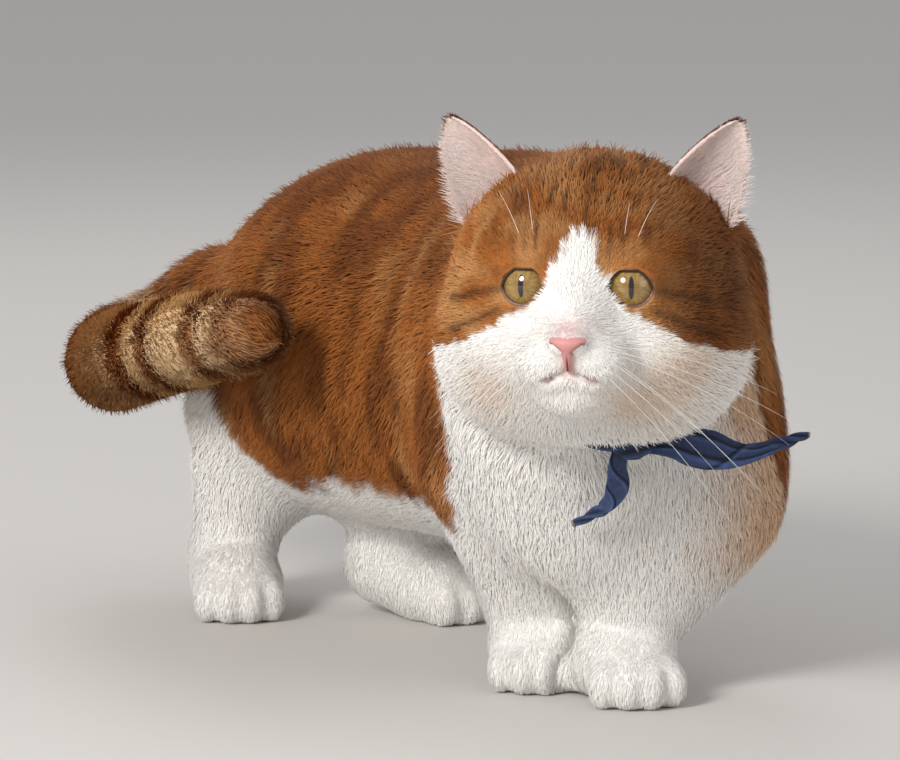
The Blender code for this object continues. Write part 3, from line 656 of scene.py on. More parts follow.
def rough_body(masses):
    """The masses as closed forms, joined into one skin by a voxel remesh."""
    form = bmesh.new()
    for station in smooth_path(TRUNK, TRUNK_BALLS):
        add_ellipsoid(form, station[:3], (station[3], TRUNK_END, station[4]), axes(0))
    for mass in masses:
        if mass["kind"] == "ball":
            add_ellipsoid(form, mass["centre"], mass["radii"], mass["axes"])
            continue
        for share in np.linspace(0, 1, LIMB_BALLS):
            radius = mass["radii"][0] + share * (mass["radii"][1] - mass["radii"][0])
            add_ellipsoid(form, mass["start"] + share * (mass["end"] - mass["start"]), (radius,) * 3, axes(0))
    mesh = bpy.data.meshes.new("skin")
    form.to_mesh(mesh)
    form.free()
    rough = new_object("skin", mesh)
    remesh = rough.modifiers.new("join", "REMESH")
    remesh.mode = "VOXEL"
    remesh.voxel_size = SKIN_VOXEL
    return applied(rough)


def fit_skin(thing, masses, hollows):
    """Draws every vertex inwards to where the skin lies under the coat, evening the mesh out on the way."""
    points = vertices(thing)
    edges = np.empty(len(thing.data.edges) * 2, dtype=int)
    thing.data.edges.foreach_get("vertices", edges)
    first, second = edges.reshape(-1, 2).T
    ties = np.bincount(edges, minlength=len(points))[:, None]

    def gap(at):
        return body_field(at, masses, hollows) + coat_depth(at)

    for turn in range(FIT_ROUNDS):
        if turn < FIT_ROUNDS - 2:
            total = [np.bincount(first, column[second], len(points))
                     + np.bincount(second, column[first], len(points)) for column in points.T]
            points = 0.5 * points + 0.5 * np.column_stack(total) / ties
        value = gap(points)
        slope = np.column_stack([(gap(points + FIT_STEP * one) - value) / FIT_STEP for one in np.eye(3)])
        move = -(value / np.maximum((slope ** 2).sum(1), 0.05))[:, None] * slope
        size = np.linalg.norm(move, axis=1)[:, None]
        points = points + move * np.minimum(1.0, 0.004 / np.maximum(size, 1e-9))
    points[:, 2] = np.maximum(points[:, 2], 0.0)
    thing.data.vertices.foreach_set("co", points.ravel())
    thing.data.update()
    return thing


def boolean(thing, operation, tool):
    """Applies one Boolean and removes its tool."""
    cut = thing.modifiers.new("cut", "BOOLEAN")
    cut.operation = operation
    cut.solver = "MANIFOLD"
    cut.object = tool
    applied(thing)
    bpy.data.objects.remove(tool, do_unlink=True)
    return thing


def tube_mesh(name, rows, finish=None, closed_loop=False):
    """A surface carried along rings of equal length, closed at each end or joined round into a loop."""
    rings, corners = rows.shape[:2]
    points = rows.reshape(-1, 3)
    joined = rings if closed_loop else rings - 1
    ring, step = np.meshgrid(np.arange(joined), np.arange(corners), indexing="ij")
    low = ring * corners + step
    high = ring * corners + (step + 1) % corners
    over_low = (ring + 1) % rings * corners + step
    over_high = (ring + 1) % rings * corners + (step + 1) % corners
    quads = np.stack([low, high, over_high, over_low], axis=-1).reshape(-1, 4)
    faces = quads.tolist()
    if not closed_loop:
        points = np.vstack([points, rows[0].mean(axis=0), rows[-1].mean(axis=0)])
        last = (rings - 1) * corners
        for step in range(corners):
            after = (step + 1) % corners
            faces += [(rings * corners, after, step), (rings * corners + 1, last + step, last + after)]
    mesh = bpy.data.meshes.new(name)
    mesh.from_pydata(points.tolist(), [], faces)
    made = new_object(name, mesh, finish)
    form = bmesh.new()
    form.from_mesh(mesh)
    bmesh.ops.recalc_face_normals(form, faces=form.faces)
    form.to_mesh(mesh)
    form.free()
    return made


def tail_line():
    """The tail's centreline and radius, evenly read."""
    return smooth_path(TAIL, TAIL_ROWS)


def tail_skin():
    """The tail under its coat: rings round the centreline, with a rounded tip."""
    line = tail_line()
    middle, radius = line[:, :3], line[:, 3] - TAIL_DEPTH
    run = unit(np.gradient(middle, axis=0))
    angle = around(TAIL_AROUND)[None, :, None]
    side = unit(np.cross(run, (0, 0, 1.0)))
    round_way = np.cos(angle) * side[:, None] + np.sin(angle) * np.cross(side, run)[:, None]
    rows = list(middle[:, None] + radius[:, None, None] * round_way)
    tip = rows[-1] - middle[-1]
    for share in (0.30, 0.55, 0.75, 0.90, 0.98):
        rows.append(middle[-1] + run[-1] * radius[-1] * share + math.sqrt(1 - share * share) * tip)
    return tube_mesh("tail", np.array(rows[TAIL_HIDDEN_ROWS:]))


def ear_frame(side):
    """Base of an ear, its length, and its directions across, towards the front and up."""
    base, tip = (spot(HEAD, HEAD_AZIMUTH, sided(place, side)) for place in (EAR_BASE, EAR_TIP))
    length = np.linalg.norm(tip - base)
    up = (tip - base) / length
    facing = axes(HEAD_AZIMUTH + EAR_TOE_OUT * side)[1]
    facing = unit(facing - up * (facing @ up))
    return base, length, np.array([np.cross(facing, up), facing, up])


def ear_shell(side):
    """A leaf-shaped shell, bent round its long axis so that it cups forward."""
    base, length, (across, facing, up) = ear_frame(side)
    rows = []
    for v in np.linspace(0, 0.985, EAR_MESH[0]):
        half, bend = ear_bend(v)
        wall = EAR_WALL * (1 - 0.45 * v)
        angle = np.linspace(-bend, bend, EAR_MESH[1])
        radius = half / math.sin(bend)
        arc = np.column_stack([np.sin(angle), -np.cos(angle)])
        ring = np.vstack([arc * radius, arc[::-1] * (radius - wall)]) + [0, radius * math.cos(bend)]
        rows.append(base + up * length * v + np.outer(ring[:, 0], across) + np.outer(ring[:, 1], facing))
    return tube_mesh("ear", np.array(rows))


def eye_centre(side):
    """Middle of an eyeball."""
    return spot(HEAD, HEAD_AZIMUTH, sided(EYE_PLACE, side))


def eye_outline(side, count, grow=0.0):
    """The opening between the lids, as distances across and up from the middle of the eye."""
    turn = around(count)
    inner = np.clip(-side * np.cos(turn), 0, 1) ** 4
    wide = np.cos(turn) * (EYE_OPENING[0] + grow) * (1 + 0.16 * inner)
    round_line = np.sign(np.sin(turn)) * np.abs(np.sin(turn)) ** 1.25
    tall = round_line * (EYE_OPENING[1] + grow) - 0.10 * side * wide
    return wide, np.minimum(tall, EYE_OPENING[1] * 0.90 + grow) - 0.0016 * inner


def eye_slot(side):
    """The opening between the lids, carried straight out from the middle of the eye."""
    left, forward, up = axes(HEAD_AZIMUTH + EYE_TOE_OUT * side)
    wide, tall = eye_outline(side, 64)
    outline = np.outer(wide, left) + np.outer(tall, up) + eye_centre(side)
    return tube_mesh("slot", np.array([outline + forward * 0.003, outline + forward * 0.022]))


def socket(side):
    """The hollow that the eyeball sits in."""
    form = bmesh.new()
    bmesh.ops.create_icosphere(form, subdivisions=4, radius=EYE_RADIUS + 0.0002)
    for vert in form.verts:
        vert.co = np.array(vert.co) + eye_centre(side)
    mesh = bpy.data.meshes.new("socket")
    form.to_mesh(mesh)
    form.free()
    return new_object("socket", mesh)


def make_skin():
    """One closed skin: body, tail and ears, with the openings for the eyes."""
    masses, hollows = all_masses(), hollow_masses()
    skin = fit_skin(rough_body(masses), masses, hollows)
    boolean(skin, "UNION", tail_skin())
    for side in (-1, 1):
        boolean(skin, "DIFFERENCE", eye_slot(side))
        boolean(skin, "DIFFERENCE", socket(side))
        boolean(skin, "UNION", ear_shell(side))
    form = bmesh.new()
    form.from_mesh(skin.data)
    bmesh.ops.triangulate(form, faces=form.faces)
    form.to_mesh(skin.data)
    form.free()
    return skin


def tail_place(points):
    """Each point's place along the tail's centreline, as a share of its length, and its distance from it."""
    line = tail_line()[:, :3]
    best = np.full(len(points), np.inf)
    row = np.zeros(len(points), dtype=int)
    for i, centre in enumerate(line):
        gap = ((points - centre) ** 2).sum(1)
        closer = gap < best
        best[closer] = gap[closer]
        row[closer] = i
    step = np.gradient(line, axis=0)[row]
    ahead = ((points - line[row]) * step).sum(1) / (step ** 2).sum(1)
    return np.clip((row + np.clip(ahead, -0.5, 0.5)) / (len(line) - 1), 0, 1), np.sqrt(best)


def tail_share(points):
    """1 on the free tail, 0 on the body."""
    share, gap = tail_place(points)
    radius = np.interp(share, np.linspace(0, 1, len(TAIL)), np.array(TAIL)[:, 3])
    return smooth_step(0.02, 0.16, share) * (gap < radius + 0.0015)


def ear_bend(v):
    """Half width of an ear and half the angle of its bend, at a share of its height."""
    v = np.clip(v, 0, 1)
    return (EAR_HALF_WIDTH - 0.0004) * (1 - v ** 1.7) ** 0.75 + 0.0006, np.radians(72 - 30 * v)


def ear_places(points):
    """For each ear: its side, length, the points in its own directions, and whether they are on its shell."""
    for side in (-1, 1):
        base, length, directions = ear_frame(side)
        local = (points - base) @ directions.T
        half, bend = ear_bend(local[:, 2] / length)
        radius = half / np.sin(bend)
        gap = np.abs(np.hypot(local[:, 0], local[:, 1] - radius * np.cos(bend)) - radius)
        on = (local[:, 2] > 0.004) & (local[:, 2] < length + 0.003) & (gap < 0.0035) & (local[:, 1] < 0.0025)
        yield side, length, local, on


def on_ears(points):
    """True on the shell of either ear."""
    return np.any([on for _, _, _, on in ear_places(points)], axis=0)


def in_cup(points, normals, least=0.1):
    """True inside the cup of an ear, where the normal leans at least so far the way the ear faces."""
    fronts = [on & (normals @ ear_frame(side)[2][1] > least) for side, _, _, on in ear_places(points)]
    return np.any(fronts, axis=0)


def body_colour(points):
    """Ginger with tabby marks: mottled, darker on the back and along the spine."""
    x, y, z = points.T
    leaning = np.column_stack([x, y + 0.25 * z, 0.30 * z])
    mottle = noise(leaning, 0.0105, 4) * 0.8 + noise(leaning, 0.0048, 5) * 0.45
    mottle = mottle + 0.3 * noise(points, 0.020, 3)
    dark = 0.10 + 0.62 * smooth_step(-0.40, 0.45, mottle) + 0.22 * smooth_step(-0.06, 0.0, y)
    colour = mix(np.tile(GINGER, (len(points), 1)), TABBY, np.clip(dark, 0, 1))
    colour = mix(colour, BUFF, np.clip(0.6 * noise(leaning, 0.012, 6) - 0.10, 0, 0.32))
    colour = mix(colour, TABBY, 0.45 * smooth_step(0.120, 0.190, z))
    spine = np.exp(-((x - 0.015) / 0.024) ** 2) * smooth_step(0.150, 0.180, z)
    return mix(colour, TABBY, 0.35 * spine)


def belly_colour(points):
    """White; on the cat's left side buff, partly fur and partly painted shade, and faint buff stripes."""
    x, _, z = points.T
    stripes = smooth_step(0.2, 0.9, noise(points * (1.0, 0.6, 0.35), 0.010, 7)) * smooth_step(-0.01, 0.03, x)
    # Buff on the cat's left side, away from the key lamp: partly buff fur, partly painted shade
    buff_and_painted_shade = 0.75 * smooth_step(0.010, 0.060, x) * smooth_step(0.150, 0.110, z) * smooth_step(0.035, 0.060, z)
    buff_and_painted_shade = buff_and_painted_shade + 0.34 * stripes * smooth_step(0.04, 0.06, z)
    return mix(np.tile(WHITE, (len(points), 1)), BUFF, np.clip(buff_and_painted_shade, 0, 0.75))


def belly_share(points, rough):
    """1 where the body is white: under the edge on the flank and in front of the edge on the shoulder."""
    x, y, z = points.T
    low, high = np.array(FLANK_EDGE).T, np.array(SHOULDER_EDGE).T
    under = smooth_step(0.004, -0.004, z - np.interp(y, *low) + 0.005 * rough)
    shift = LEFT_SHOULDER * smooth_step(0.020, 0.068, x)
    front = smooth_step(0.004, -0.004, y - np.interp(z, *high) + shift + 0.005 * rough)
    return np.maximum(under, front)


def tail_colour(points, rough):
    """Rings of cream on ginger, and the orange mark at the tip."""
    share, _ = tail_place(points)
    paleness = np.interp(share + 0.006 * rough, *np.array(TAIL_BANDS).T)
    colour = mix(np.tile(mix(GINGER, TABBY, 0.30), (len(points), 1)), CREAM, 0.9 * paleness)
    tip_gap = np.linalg.norm(points - np.array(TAIL_TIP_SPOT), axis=1)
    mark = smooth_step(1.5, 0.8, tip_gap / TAIL_TIP_MARK + 0.3 * rough)
    return mix(colour, mix(GINGER, TABBY, 0.45), 0.90 * mark)


def markings(points):
    """The coat's colour at each point: ginger with tabby marks above, white below, rings on the tail."""
    rough = noise(points, 0.006, 1) * 0.6 + noise(points, 0.0025, 2) * 0.4
    colour = mix(body_colour(points), belly_colour(points), belly_share(points, rough))
    colour = mix(colour, tail_colour(points, rough), tail_share(points))
    return mix(colour, head_markings(points), head_share(points))


def mask_colour(points, rough):
    """The ginger of the head: dark flecks on crown and left cheek, lines at the eyes, buff over the eyes."""
    local = head_local(points)
    left, forward, up = local.T
    drawn_out = local * (1.0, 0.17, 0.17)
    fleck = noise(drawn_out, 0.0019, 13) * 0.7 + noise(drawn_out, 0.0010, 14) * 0.5
    crown = smooth_step(0.022, 0.036, up) * smooth_step(0.042, 0.022, np.abs(left))
    colour = mix(np.tile(GINGER, (len(points), 1)), TABBY, np.clip(0.22 + 0.45 * rough, 0, 1))
    colour = mix(colour, BUFF, np.clip(0.25 + 0.5 * noise(points, 0.009, 15), 0, 0.5))
    colour = mix(colour, TABBY, 0.35 * crown)
    colour = mix(colour, BROWN, np.clip(1.6 * fleck + 0.10, 0, 1) * crown * 0.70)
    # Left temple and cheek darker: partly marks, partly painted shade on the side away from the key lamp
    temple = smooth_step(0.018, 0.042, left) * smooth_step(-0.020, 0.000, up)
    colour = mix(colour, TABBY, 0.75 * temple)
    cheek = smooth_step(0.026, 0.046, left) * smooth_step(-0.012, 0.004, up) * smooth_step(0.042, 0.020, up)
    colour = mix(colour, BROWN, np.clip(0.45 + 0.6 * fleck, 0, 1) * cheek * 0.75)
    for line in EYE_LINES:
        near = np.exp(-(line_gap(np.abs(left), up, line) / line[4] + 0.4 * rough) ** 2)
        colour = mix(colour, BROWN, 0.65 * near * (forward > 0))
    for side in (-1, 1):
        gap = eye_gap(local, side)
        colour = mix(colour, BUFF, 0.35 * smooth_step(0.0030, 0.0010, gap) * smooth_step(0.020, 0.008, up))
    return colour


def blaze_share(local, rough):
    """1 on the white blaze, muzzle and cheeks, with a streaky edge."""
    left, forward, up = local.T
    half = np.interp(up, *np.array(BLAZE).T)
    streak = noise(local * (1.0, 0.2, 0.2), 0.0018, 16)
    white = smooth_step(0.0018, -0.0018, np.abs(left) - half + 0.0024 * rough + 0.0028 * streak)
    return white * (1 - smooth_step(0.010, -0.015, forward) * smooth_step(-0.022, -0.012, up))


def head_markings(points):
    """The head's own marks: ginger mask, white blaze with buff patches, pink lips and bridge of the nose."""
    local = head_local(points)
    left, forward, up = local.T
    rough = noise(points, 0.004, 11) * 0.6 + noise(points, 0.0016, 12) * 0.4
    pale = np.tile(WHITE, (len(points), 1))
    # Buff patches: partly fur, partly painted warm bounce light in the shade under the head
    for across, high, radius in CHEEK_PATCHES:
        gap = np.hypot(left - across, up - high) / radius
        pale = mix(pale, BUFF, np.clip(0.38 * np.exp(-gap * gap + 0.2 * rough), 0, 0.5) * (forward > 0))
    colour = mix(mask_colour(points, rough), pale, blaze_share(local, rough))
    middle, bend, corner = lip_line(1)
    mirrored = np.array(HEAD) + np.column_stack([np.abs(left), forward, up]) @ axes(HEAD_AZIMUTH)
    for ends in ((middle, bend), (bend, corner)):
        gap = mass_field(mirrored, head_limb(*ends, 0.0, 0.0))
        colour = mix(colour, LIP, 0.95 * smooth_step(0.0022, 0.0006, gap))
    bridge = np.exp(-(left / 0.0066) ** 2 - ((up - 0.0045) / 0.0045) ** 2) * (forward > 0.05)
    ridge = np.exp(-(left / 0.0030) ** 2) * smooth_step(0.001, -0.003, up) * smooth_step(-0.0150, -0.011, up)
    return mix(colour, NOSE_PINK, np.maximum(0.45 * bridge, 0.55 * ridge * (forward > 0.05)))


def body_way(points, normals):
    """The lie of the coat on trunk and legs: backwards on the back, down on the flanks, chest and legs."""
    _, y, z = points.T
    flank = smooth_step(0.9, 0.2, np.abs(normals[:, 2]))
    rump = smooth_step(0.130, 0.180, y)
    chest = smooth_step(-0.060, -0.095, y) * smooth_step(0.5, -0.2, normals[:, 1])
    low = smooth_step(0.175, 0.090, z)
    back, down = 1.0 - 0.45 * rump - 0.35 * flank * low, -(0.25 + 0.75 * low) * flank - 0.5 * rump
    way = mix(np.column_stack([np.zeros(len(points)), back, down]), np.array((0.0, 0.15, -1.0)), chest)
    leg = smooth_step(0.070, 0.042, z) * smooth_step(-0.9, -0.4, normals[:, 2])
    return unit(mix(way, np.array((0.0, -0.05, -1.0)), leg))


def lie(points, normals):
    """The way the coat lies at each point, along the skin."""
    from_nose = unit(head_local(points) - (0.0, 0.0660, 0.0060)) + (0, -0.25, -0.15)
    head_way = unit(from_nose @ axes(HEAD_AZIMUTH))
    share, _ = tail_place(points)
    line = tail_line()[:, :3]
    run = unit(np.gradient(line, axis=0))[np.round(share * (len(line) - 1)).astype(int)]
    way = mix(body_way(points, normals), run + (0, 0, -0.25), tail_share(points))
    way = mix(unit(way), head_way, head_share(points))
    for side, _, place, on in ear_places(points):
        across, facing, up = ear_frame(side)[2]
        cup = (normals[on] @ facing > 0.1)[:, None]
        spread = np.where(cup, 14 * place[on, :1] - 0.60 * side, 0.20 * np.sign(place[on, :1]))
        way[on] = up + spread * across + 0.3 * cup * facing
    swirl = np.column_stack([noise(points, 0.012, seed) for seed in (21, 22, 23)])
    way = unit(way) + 0.16 * swirl
    return unit(way - normals * (way * normals).sum(1)[:, None])


def mesh_arrays(thing):
    """An object's vertices, triangles and vertex normals as arrays."""
    mesh = thing.data
    points = vertices(thing)
    mesh.calc_loop_triangles()
    triangles = np.empty(len(mesh.loop_triangles) * 3, dtype=np.int32)
    mesh.loop_triangles.foreach_get("vertices", triangles)
    triangles = triangles.reshape(-1, 3)
    corner = points[triangles]
    flat = np.cross(corner[:, 1] - corner[:, 0], corner[:, 2] - corner[:, 0])
    normals = np.zeros_like(points)
    for axis in range(3):
        for k in range(3):
            normals[:, axis] += np.bincount(triangles[:, k], flat[:, axis], len(points))
    return points, triangles, unit(normals), np.linalg.norm(flat, axis=1) / 2


def bare(points):
    """True where no coat grows: nose, line of the mouth, openings of the eyes and soles."""
    local = head_local(points)
    heights, halves, _ = np.array(NOSE_ROWS[::-1]).T
    half = np.interp(local[:, 2], heights, halves + 0.0002, left=0, right=0)
    nose = (np.abs(local[:, 0]) < half) & (local[:, 1] > 0.060) & (local[:, 2] < NOSE_FUR)
    none = nose | (points[:, 2] < 0.0012) | (lip_gap(points) - 0.0006 < 0.0004)
    grown = np.array(EYE_OPENING) + 0.0004
    for side in (-1, 1):
        left, forward, up = axes(HEAD_AZIMUTH + EYE_TOE_OUT * side)
        off = points - eye_centre(side)
        wide, tall = off @ left, off @ up
        ring = (wide / grown[0]) ** 2 + ((tall + 0.10 * side * wide) / grown[1]) ** 2
        none |= (ring < 1.0) & (off @ forward > 0)
    return none


def scatter(points, triangles, normals, area):
    """Roots of the tufts and the skin's normals there, drawn more closely where the coat is finer."""
    random = np.random.default_rng(7)
    middle = points[triangles].mean(axis=1)
    fineness = 1.0 / (0.0010 + coat_depth(middle)) ** 1.25
    fineness[on_ears(middle)] *= EAR_DENSITY
    weight = area * fineness
    chosen = random.choice(len(triangles), TUFTS, p=weight / weight.sum())
    u, v = random.random((2, TUFTS))
    flip = u + v > 1
    u[flip], v[flip] = 1 - u[flip], 1 - v[flip]
    share = np.column_stack([1 - u - v, u, v])[:, :, None]
    roots = (points[triangles[chosen]] * share).sum(axis=1)
    up = unit((normals[triangles[chosen]] * share).sum(axis=1))
    keep = ~bare(roots)
    return roots[keep], up[keep]


def blade_sizes(roots, normals, tail, random):
    """Length, height and width of each blade by the coat's depth, with strays and long hair in the ears."""
    count = len(roots)
    depth = np.where(on_ears(roots), EAR_DEPTH, coat_depth(roots))
    depth = depth * (1 - tail) + TAIL_DEPTH * tail
    length = (0.0012 + (2.5 - 0.4 * tail) * depth) * random.uniform(0.8, 1.2, count)
    length = np.minimum(length, 0.0008 + 0.7 * lip_gap(roots))
    height = depth * random.uniform(0.72, 1.02, count) + 0.0002
    width = (0.00032 + (0.085 - 0.035 * tail) * depth) * random.uniform(0.8, 1.25, count)
    stray = (random.random(count) < STRAY_SHARE) & (depth > 0.0012)
    height[stray] *= 1.6
    width[stray] *= 0.6
    cup = in_cup(roots, normals)
    length[cup] = (random.uniform(0.004, 0.015, count) * cup_fringe(roots))[cup]
    height[cup] = 0.22 * length[cup]
    width[cup] = CUP_HAIR_WIDTH
    return length, height, width


def blade_ways(roots, normals, random):
    """The way each blade runs, turned a little from the lie of the coat, and the way across it."""
    count = len(roots)
    way = lie(roots, normals)
    way = unit(way + np.cross(normals, way) * random.normal(0, 0.13, count)[:, None])
    roll = random.normal(0, 0.14, count)[:, None]
    return way, np.cross(normals, way) * np.cos(roll) + normals * np.sin(roll)


def blade_colour(roots, normals, points, way, length, random):
    """Colour at each corner of the blades: the markings, darker at the root, with a random shade for each.

    A blade takes one place's marking, but on the tail each corner takes its own, which keeps the rings crisp.
    """
    corners = len(BLADE_STEPS)
    colour = markings(roots + way * length[:, None] * 0.4)
    colour = np.repeat(ear_colour(colour, roots, normals)[:, None], corners, axis=1)
    ringed = tail_share(roots) > 0.5
    if ringed.any():
        tail_points = points.reshape(-1, corners, 3)[ringed].reshape(-1, 3)
        colour[ringed] = markings(tail_points).reshape(-1, corners, 3)
    # Darker at the root, lighter at the tip where the colour is deep: partly ticking, partly painted shade
    deep = 1 - np.clip(1.25 * colour[..., 2:], 0, 1)
    shade = 1 + random.uniform(-0.22, 0.20, len(roots))[:, None, None] * (0.25 + 0.75 * deep)
    grown = 1 + deep * (0.42 * BLADE_STEPS - 0.26)[None, :, None]
    return np.clip(grown * colour * shade, 0, 0.93).reshape(-1, 3)


def tufts(name, roots, normals, unwrap, finish, seed):
    """Thin curved blades, one at each root, that rise from the skin along the coat's lie and bend back down.

    Along a blade, s from 0 to 1, the middle is root + way * reach * s + normal * height * (1.6 s - 0.6 s * s)
    + across * sway * s * s, and the half width is width * (1 - 0.85 s * s) / 2, drawn together at the tip.
    OFBake lays each blade as a small patch at its root's place.
    """
    random = np.random.default_rng(seed)
    count, corners = len(roots), len(BLADE_STEPS)
    tail = tail_share(roots)
    length, height, width = blade_sizes(roots, normals, tail, random)
    reach = np.sqrt(np.maximum(length ** 2 - height ** 2, 1e-8))
    way, across = blade_ways(roots, normals, random)
    sway = (random.normal(0, 0.10, count) + 0.22 * noise(roots, 0.0045, 31)) * (1 - 0.6 * tail)
    sway = sway * length
    s = BLADE_STEPS[None, :, None]
    sunk = np.minimum(0.0003, 0.3 * height)[:, None]
    middle = ((roots - sunk * normals)[:, None] + way[:, None] * (reach[:, None, None] * s)
              + normals[:, None] * (height[:, None, None] * (1.6 * s - 0.6 * s * s))
              + across[:, None] * (sway[:, None, None] * s * s))
    half = width[:, None, None] * (1 - 0.85 * s * s) / 2
    points = (middle + across[:, None] * half * BLADE_SIDES[None, :, None]).reshape(-1, 3)
    points[:, 2] = np.maximum(points[:, 2], 0.0004)
    triangles = (BLADE_FACES[None] + corners * np.arange(count)[:, None, None]).reshape(-1, 3)
    colour = blade_colour(roots, normals, points, way, length, random)
    patch = np.column_stack([BLADE_SIDES, 2 * BLADE_STEPS - 1]) * TUFT_PATCH / 2
    uv = (disc_place(roots, *unwrap)[:, None] + patch[None]).reshape(-1, 2)
    made = painted_mesh(name, points, triangles, colour, finish, uv)
    blade = np.cross(across, unit(way * reach[:, None] + normals * height[:, None]))
    blade = blade * np.sign((blade * normals).sum(1))[:, None]
    shading = unit(SKIN_SHADING * normals + (1 - SKIN_SHADING) * blade)
    made.data.normals_split_custom_set_from_vertices(np.repeat(shading, corners, axis=0))
    return made


def cup_fringe(points):
    """Length of the hair in an ear's cup, as a share: longest near the base, short at the tip and edges."""
    share = np.zeros(len(points))
    for side, length, place, on in ear_places(points):
        high = place[:, 2] / length
        outward = -side * place[:, 0] / ear_bend(high)[0]
        rise = smooth_step(-0.95, -0.35, outward)
        fall = 1 - 0.45 * smooth_step(0.7, 1.0, outward)
        share = np.where(on, (1.1 - 0.9 * high) * rise * fall, share)
    return np.maximum(share, 0.12)


def ear_colour(colour, points, normals):
    """Ears: ginger behind, pale hair in the cup and along its edge."""
    cup = in_cup(points, normals)
    for _, length, place, on in ear_places(points):
        edge = smooth_step(0.80, 0.97, place[:, 2] / length)
        behind = mix(np.tile(mix(GINGER, TABBY, 0.5), (len(points), 1)), BROWN, 0.4 * edge)
        colour = np.where((on & ~cup)[:, None], behind, colour)
    return np.where(cup[:, None], mix(WHITE, PINK, 0.5), colour)


def disc_place(points, pole, centre, scale):
    """Unwrap of a part's own shape: the angle from its pole is the distance from the middle of a disc."""
    pole = np.array(pole, dtype=float)
    first = unit(np.cross(pole, (0.31, 0.95, 0.1)))
    second = np.cross(pole, first)
    ray = unit((points - np.array(centre)) / np.array(scale))
    tilt = np.arccos(np.clip(ray @ pole, -1, 1)) / math.pi
    flat = np.column_stack([ray @ first, ray @ second])
    return 0.5 + 0.485 * tilt[:, None] * unit(flat)


def painted_mesh(name, points, triangles, colour, finish, uv):
    """A mesh from arrays, with its colour as a point attribute and its OFBake map."""
    mesh = bpy.data.meshes.new(name)
    mesh.vertices.add(len(points))
    mesh.vertices.foreach_set("co", (points - (*PLAN_CENTRE, 0.0)).astype(np.float32).ravel())
    mesh.loops.add(triangles.size)
    mesh.loops.foreach_set("vertex_index", triangles.astype(np.int32).ravel())
    mesh.polygons.add(len(triangles))
    mesh.polygons.foreach_set("loop_start", np.arange(0, triangles.size, triangles.shape[1], dtype=np.int32))
    mesh.update(calc_edges=True)
    baked = mesh.uv_layers.new(name="OFBake")
    baked.data.foreach_set("uv", uv[triangles.ravel()].astype(np.float32).ravel())
    mesh.polygons.foreach_set("use_smooth", np.ones(len(triangles), dtype=bool))
    made = new_object(name, mesh, finish)
    paint(made, colour)
    return made


def paint(thing, colour):
    """Puts a colour on every vertex, for the material to read."""
    layer = thing.data.attributes.new("coat", "FLOAT_COLOR", "POINT")
    with_alpha = np.column_stack([colour, np.ones(len(colour))])
    layer.data.foreach_set("color", with_alpha.astype(np.float32).ravel())


def add_node(tree, kind, **settings):
    """A new shader node with its settings."""
    made = tree.nodes.new("ShaderNode" + kind)
    for key, value in settings.items():
        setattr(made, key, value)
    return made


def surface(name, roughness, colour=None, **values):
    """A material of one colour, or of the colour painted on the mesh where none is given."""
    made = bpy.data.materials.new(name)
    made.use_nodes = True
    tree = made.node_tree
    shader = tree.nodes["Principled BSDF"]
    for key, value in {"Roughness": roughness, **values}.items():
        shader.inputs[key.replace("_", " ")].default_value = value
    if colour:
        shader.inputs["Base Color"].default_value = (*colour, 1)
    else:
        painted = add_node(tree, "Attribute", attribute_name="coat")
        tree.links.new(painted.outputs["Color"], shader.inputs["Base Color"])
    return made


def coat_regions(roots):
    """Each region's name, roots, unwrap (pole, middle and stretch), and the axis it is parted along."""
    head = (head_share(roots) > 0.5) | on_ears(roots)
    tail = ~head & (tail_share(roots) > 0.5)
    leg = ~head & ~tail & (roots[:, 2] < LEG_TOP)
    yield "head", head, (axes(HEAD_AZIMUTH)[1], HEAD, (1, 1, 1)), 0
    yield "trunk", ~head & ~tail & ~leg, TRUNK_UNWRAP, 1
    yield "tail", tail, TAIL_UNWRAP, 1
    nearest = np.argmin([np.hypot(roots[:, 0] - x, roots[:, 1] - y) for x, y, _ in FEET.values()], axis=0)
    for place, (name, (x, y, azimuth)) in enumerate(FEET.items()):
        yield "leg_" + name, leg & (nearest == place), (axes(azimuth)[1], (x, y, 0.02), (1, 1, 1)), 0


def make_coat(skin_arrays, finish):
    """Every piece of the coat, parted by region and then by place so that none is too large."""
    roots, up = scatter(*skin_arrays)
    made = []
    for region, (name, mask, unwrap, axis) in enumerate(coat_regions(roots)):
        rows = np.flatnonzero(mask)
        rows = rows[np.argsort(roots[rows, axis])]
        parts = max(1, math.ceil(len(rows) / PIECE_TUFTS))
        for part, chosen in enumerate(np.array_split(rows, parts)):
            seed = 100 + 10 * region + part
            made.append(tufts(f"coat_{name}_{part + 1}", roots[chosen], up[chosen], unwrap, finish, seed))
    return made


def eye_colour(wide, tall):
    """Amber iris with gold fibres, a dark edge and a slit pupil, by place across and up from the middle."""
    out = np.hypot(wide, tall)
    turn = np.arctan2(tall, wide)
    fibres = noise(np.column_stack([np.cos(turn) * 9, np.sin(turn) * 9, out * 700]), 1.0, 41)
    iris = mix(np.tile(AMBER, (len(out), 1)), GOLD, np.clip(0.5 + 0.6 * fibres, 0, 1))
    iris = mix(iris, IRIS_MIDDLE, 0.6 * smooth_step(0.0042, 0.0020, out))
    iris = mix(iris, IRIS_EDGE, smooth_step(0.0070, 0.0079, out))
    slit = (wide / 0.00095) ** 2 + (tall / 0.0041) ** 2
    iris = mix(iris, PUPIL, smooth_step(1.25, 0.85, slit))
    return mix(iris, EYE_CORNER, smooth_step(0.0080, 0.0084, out))


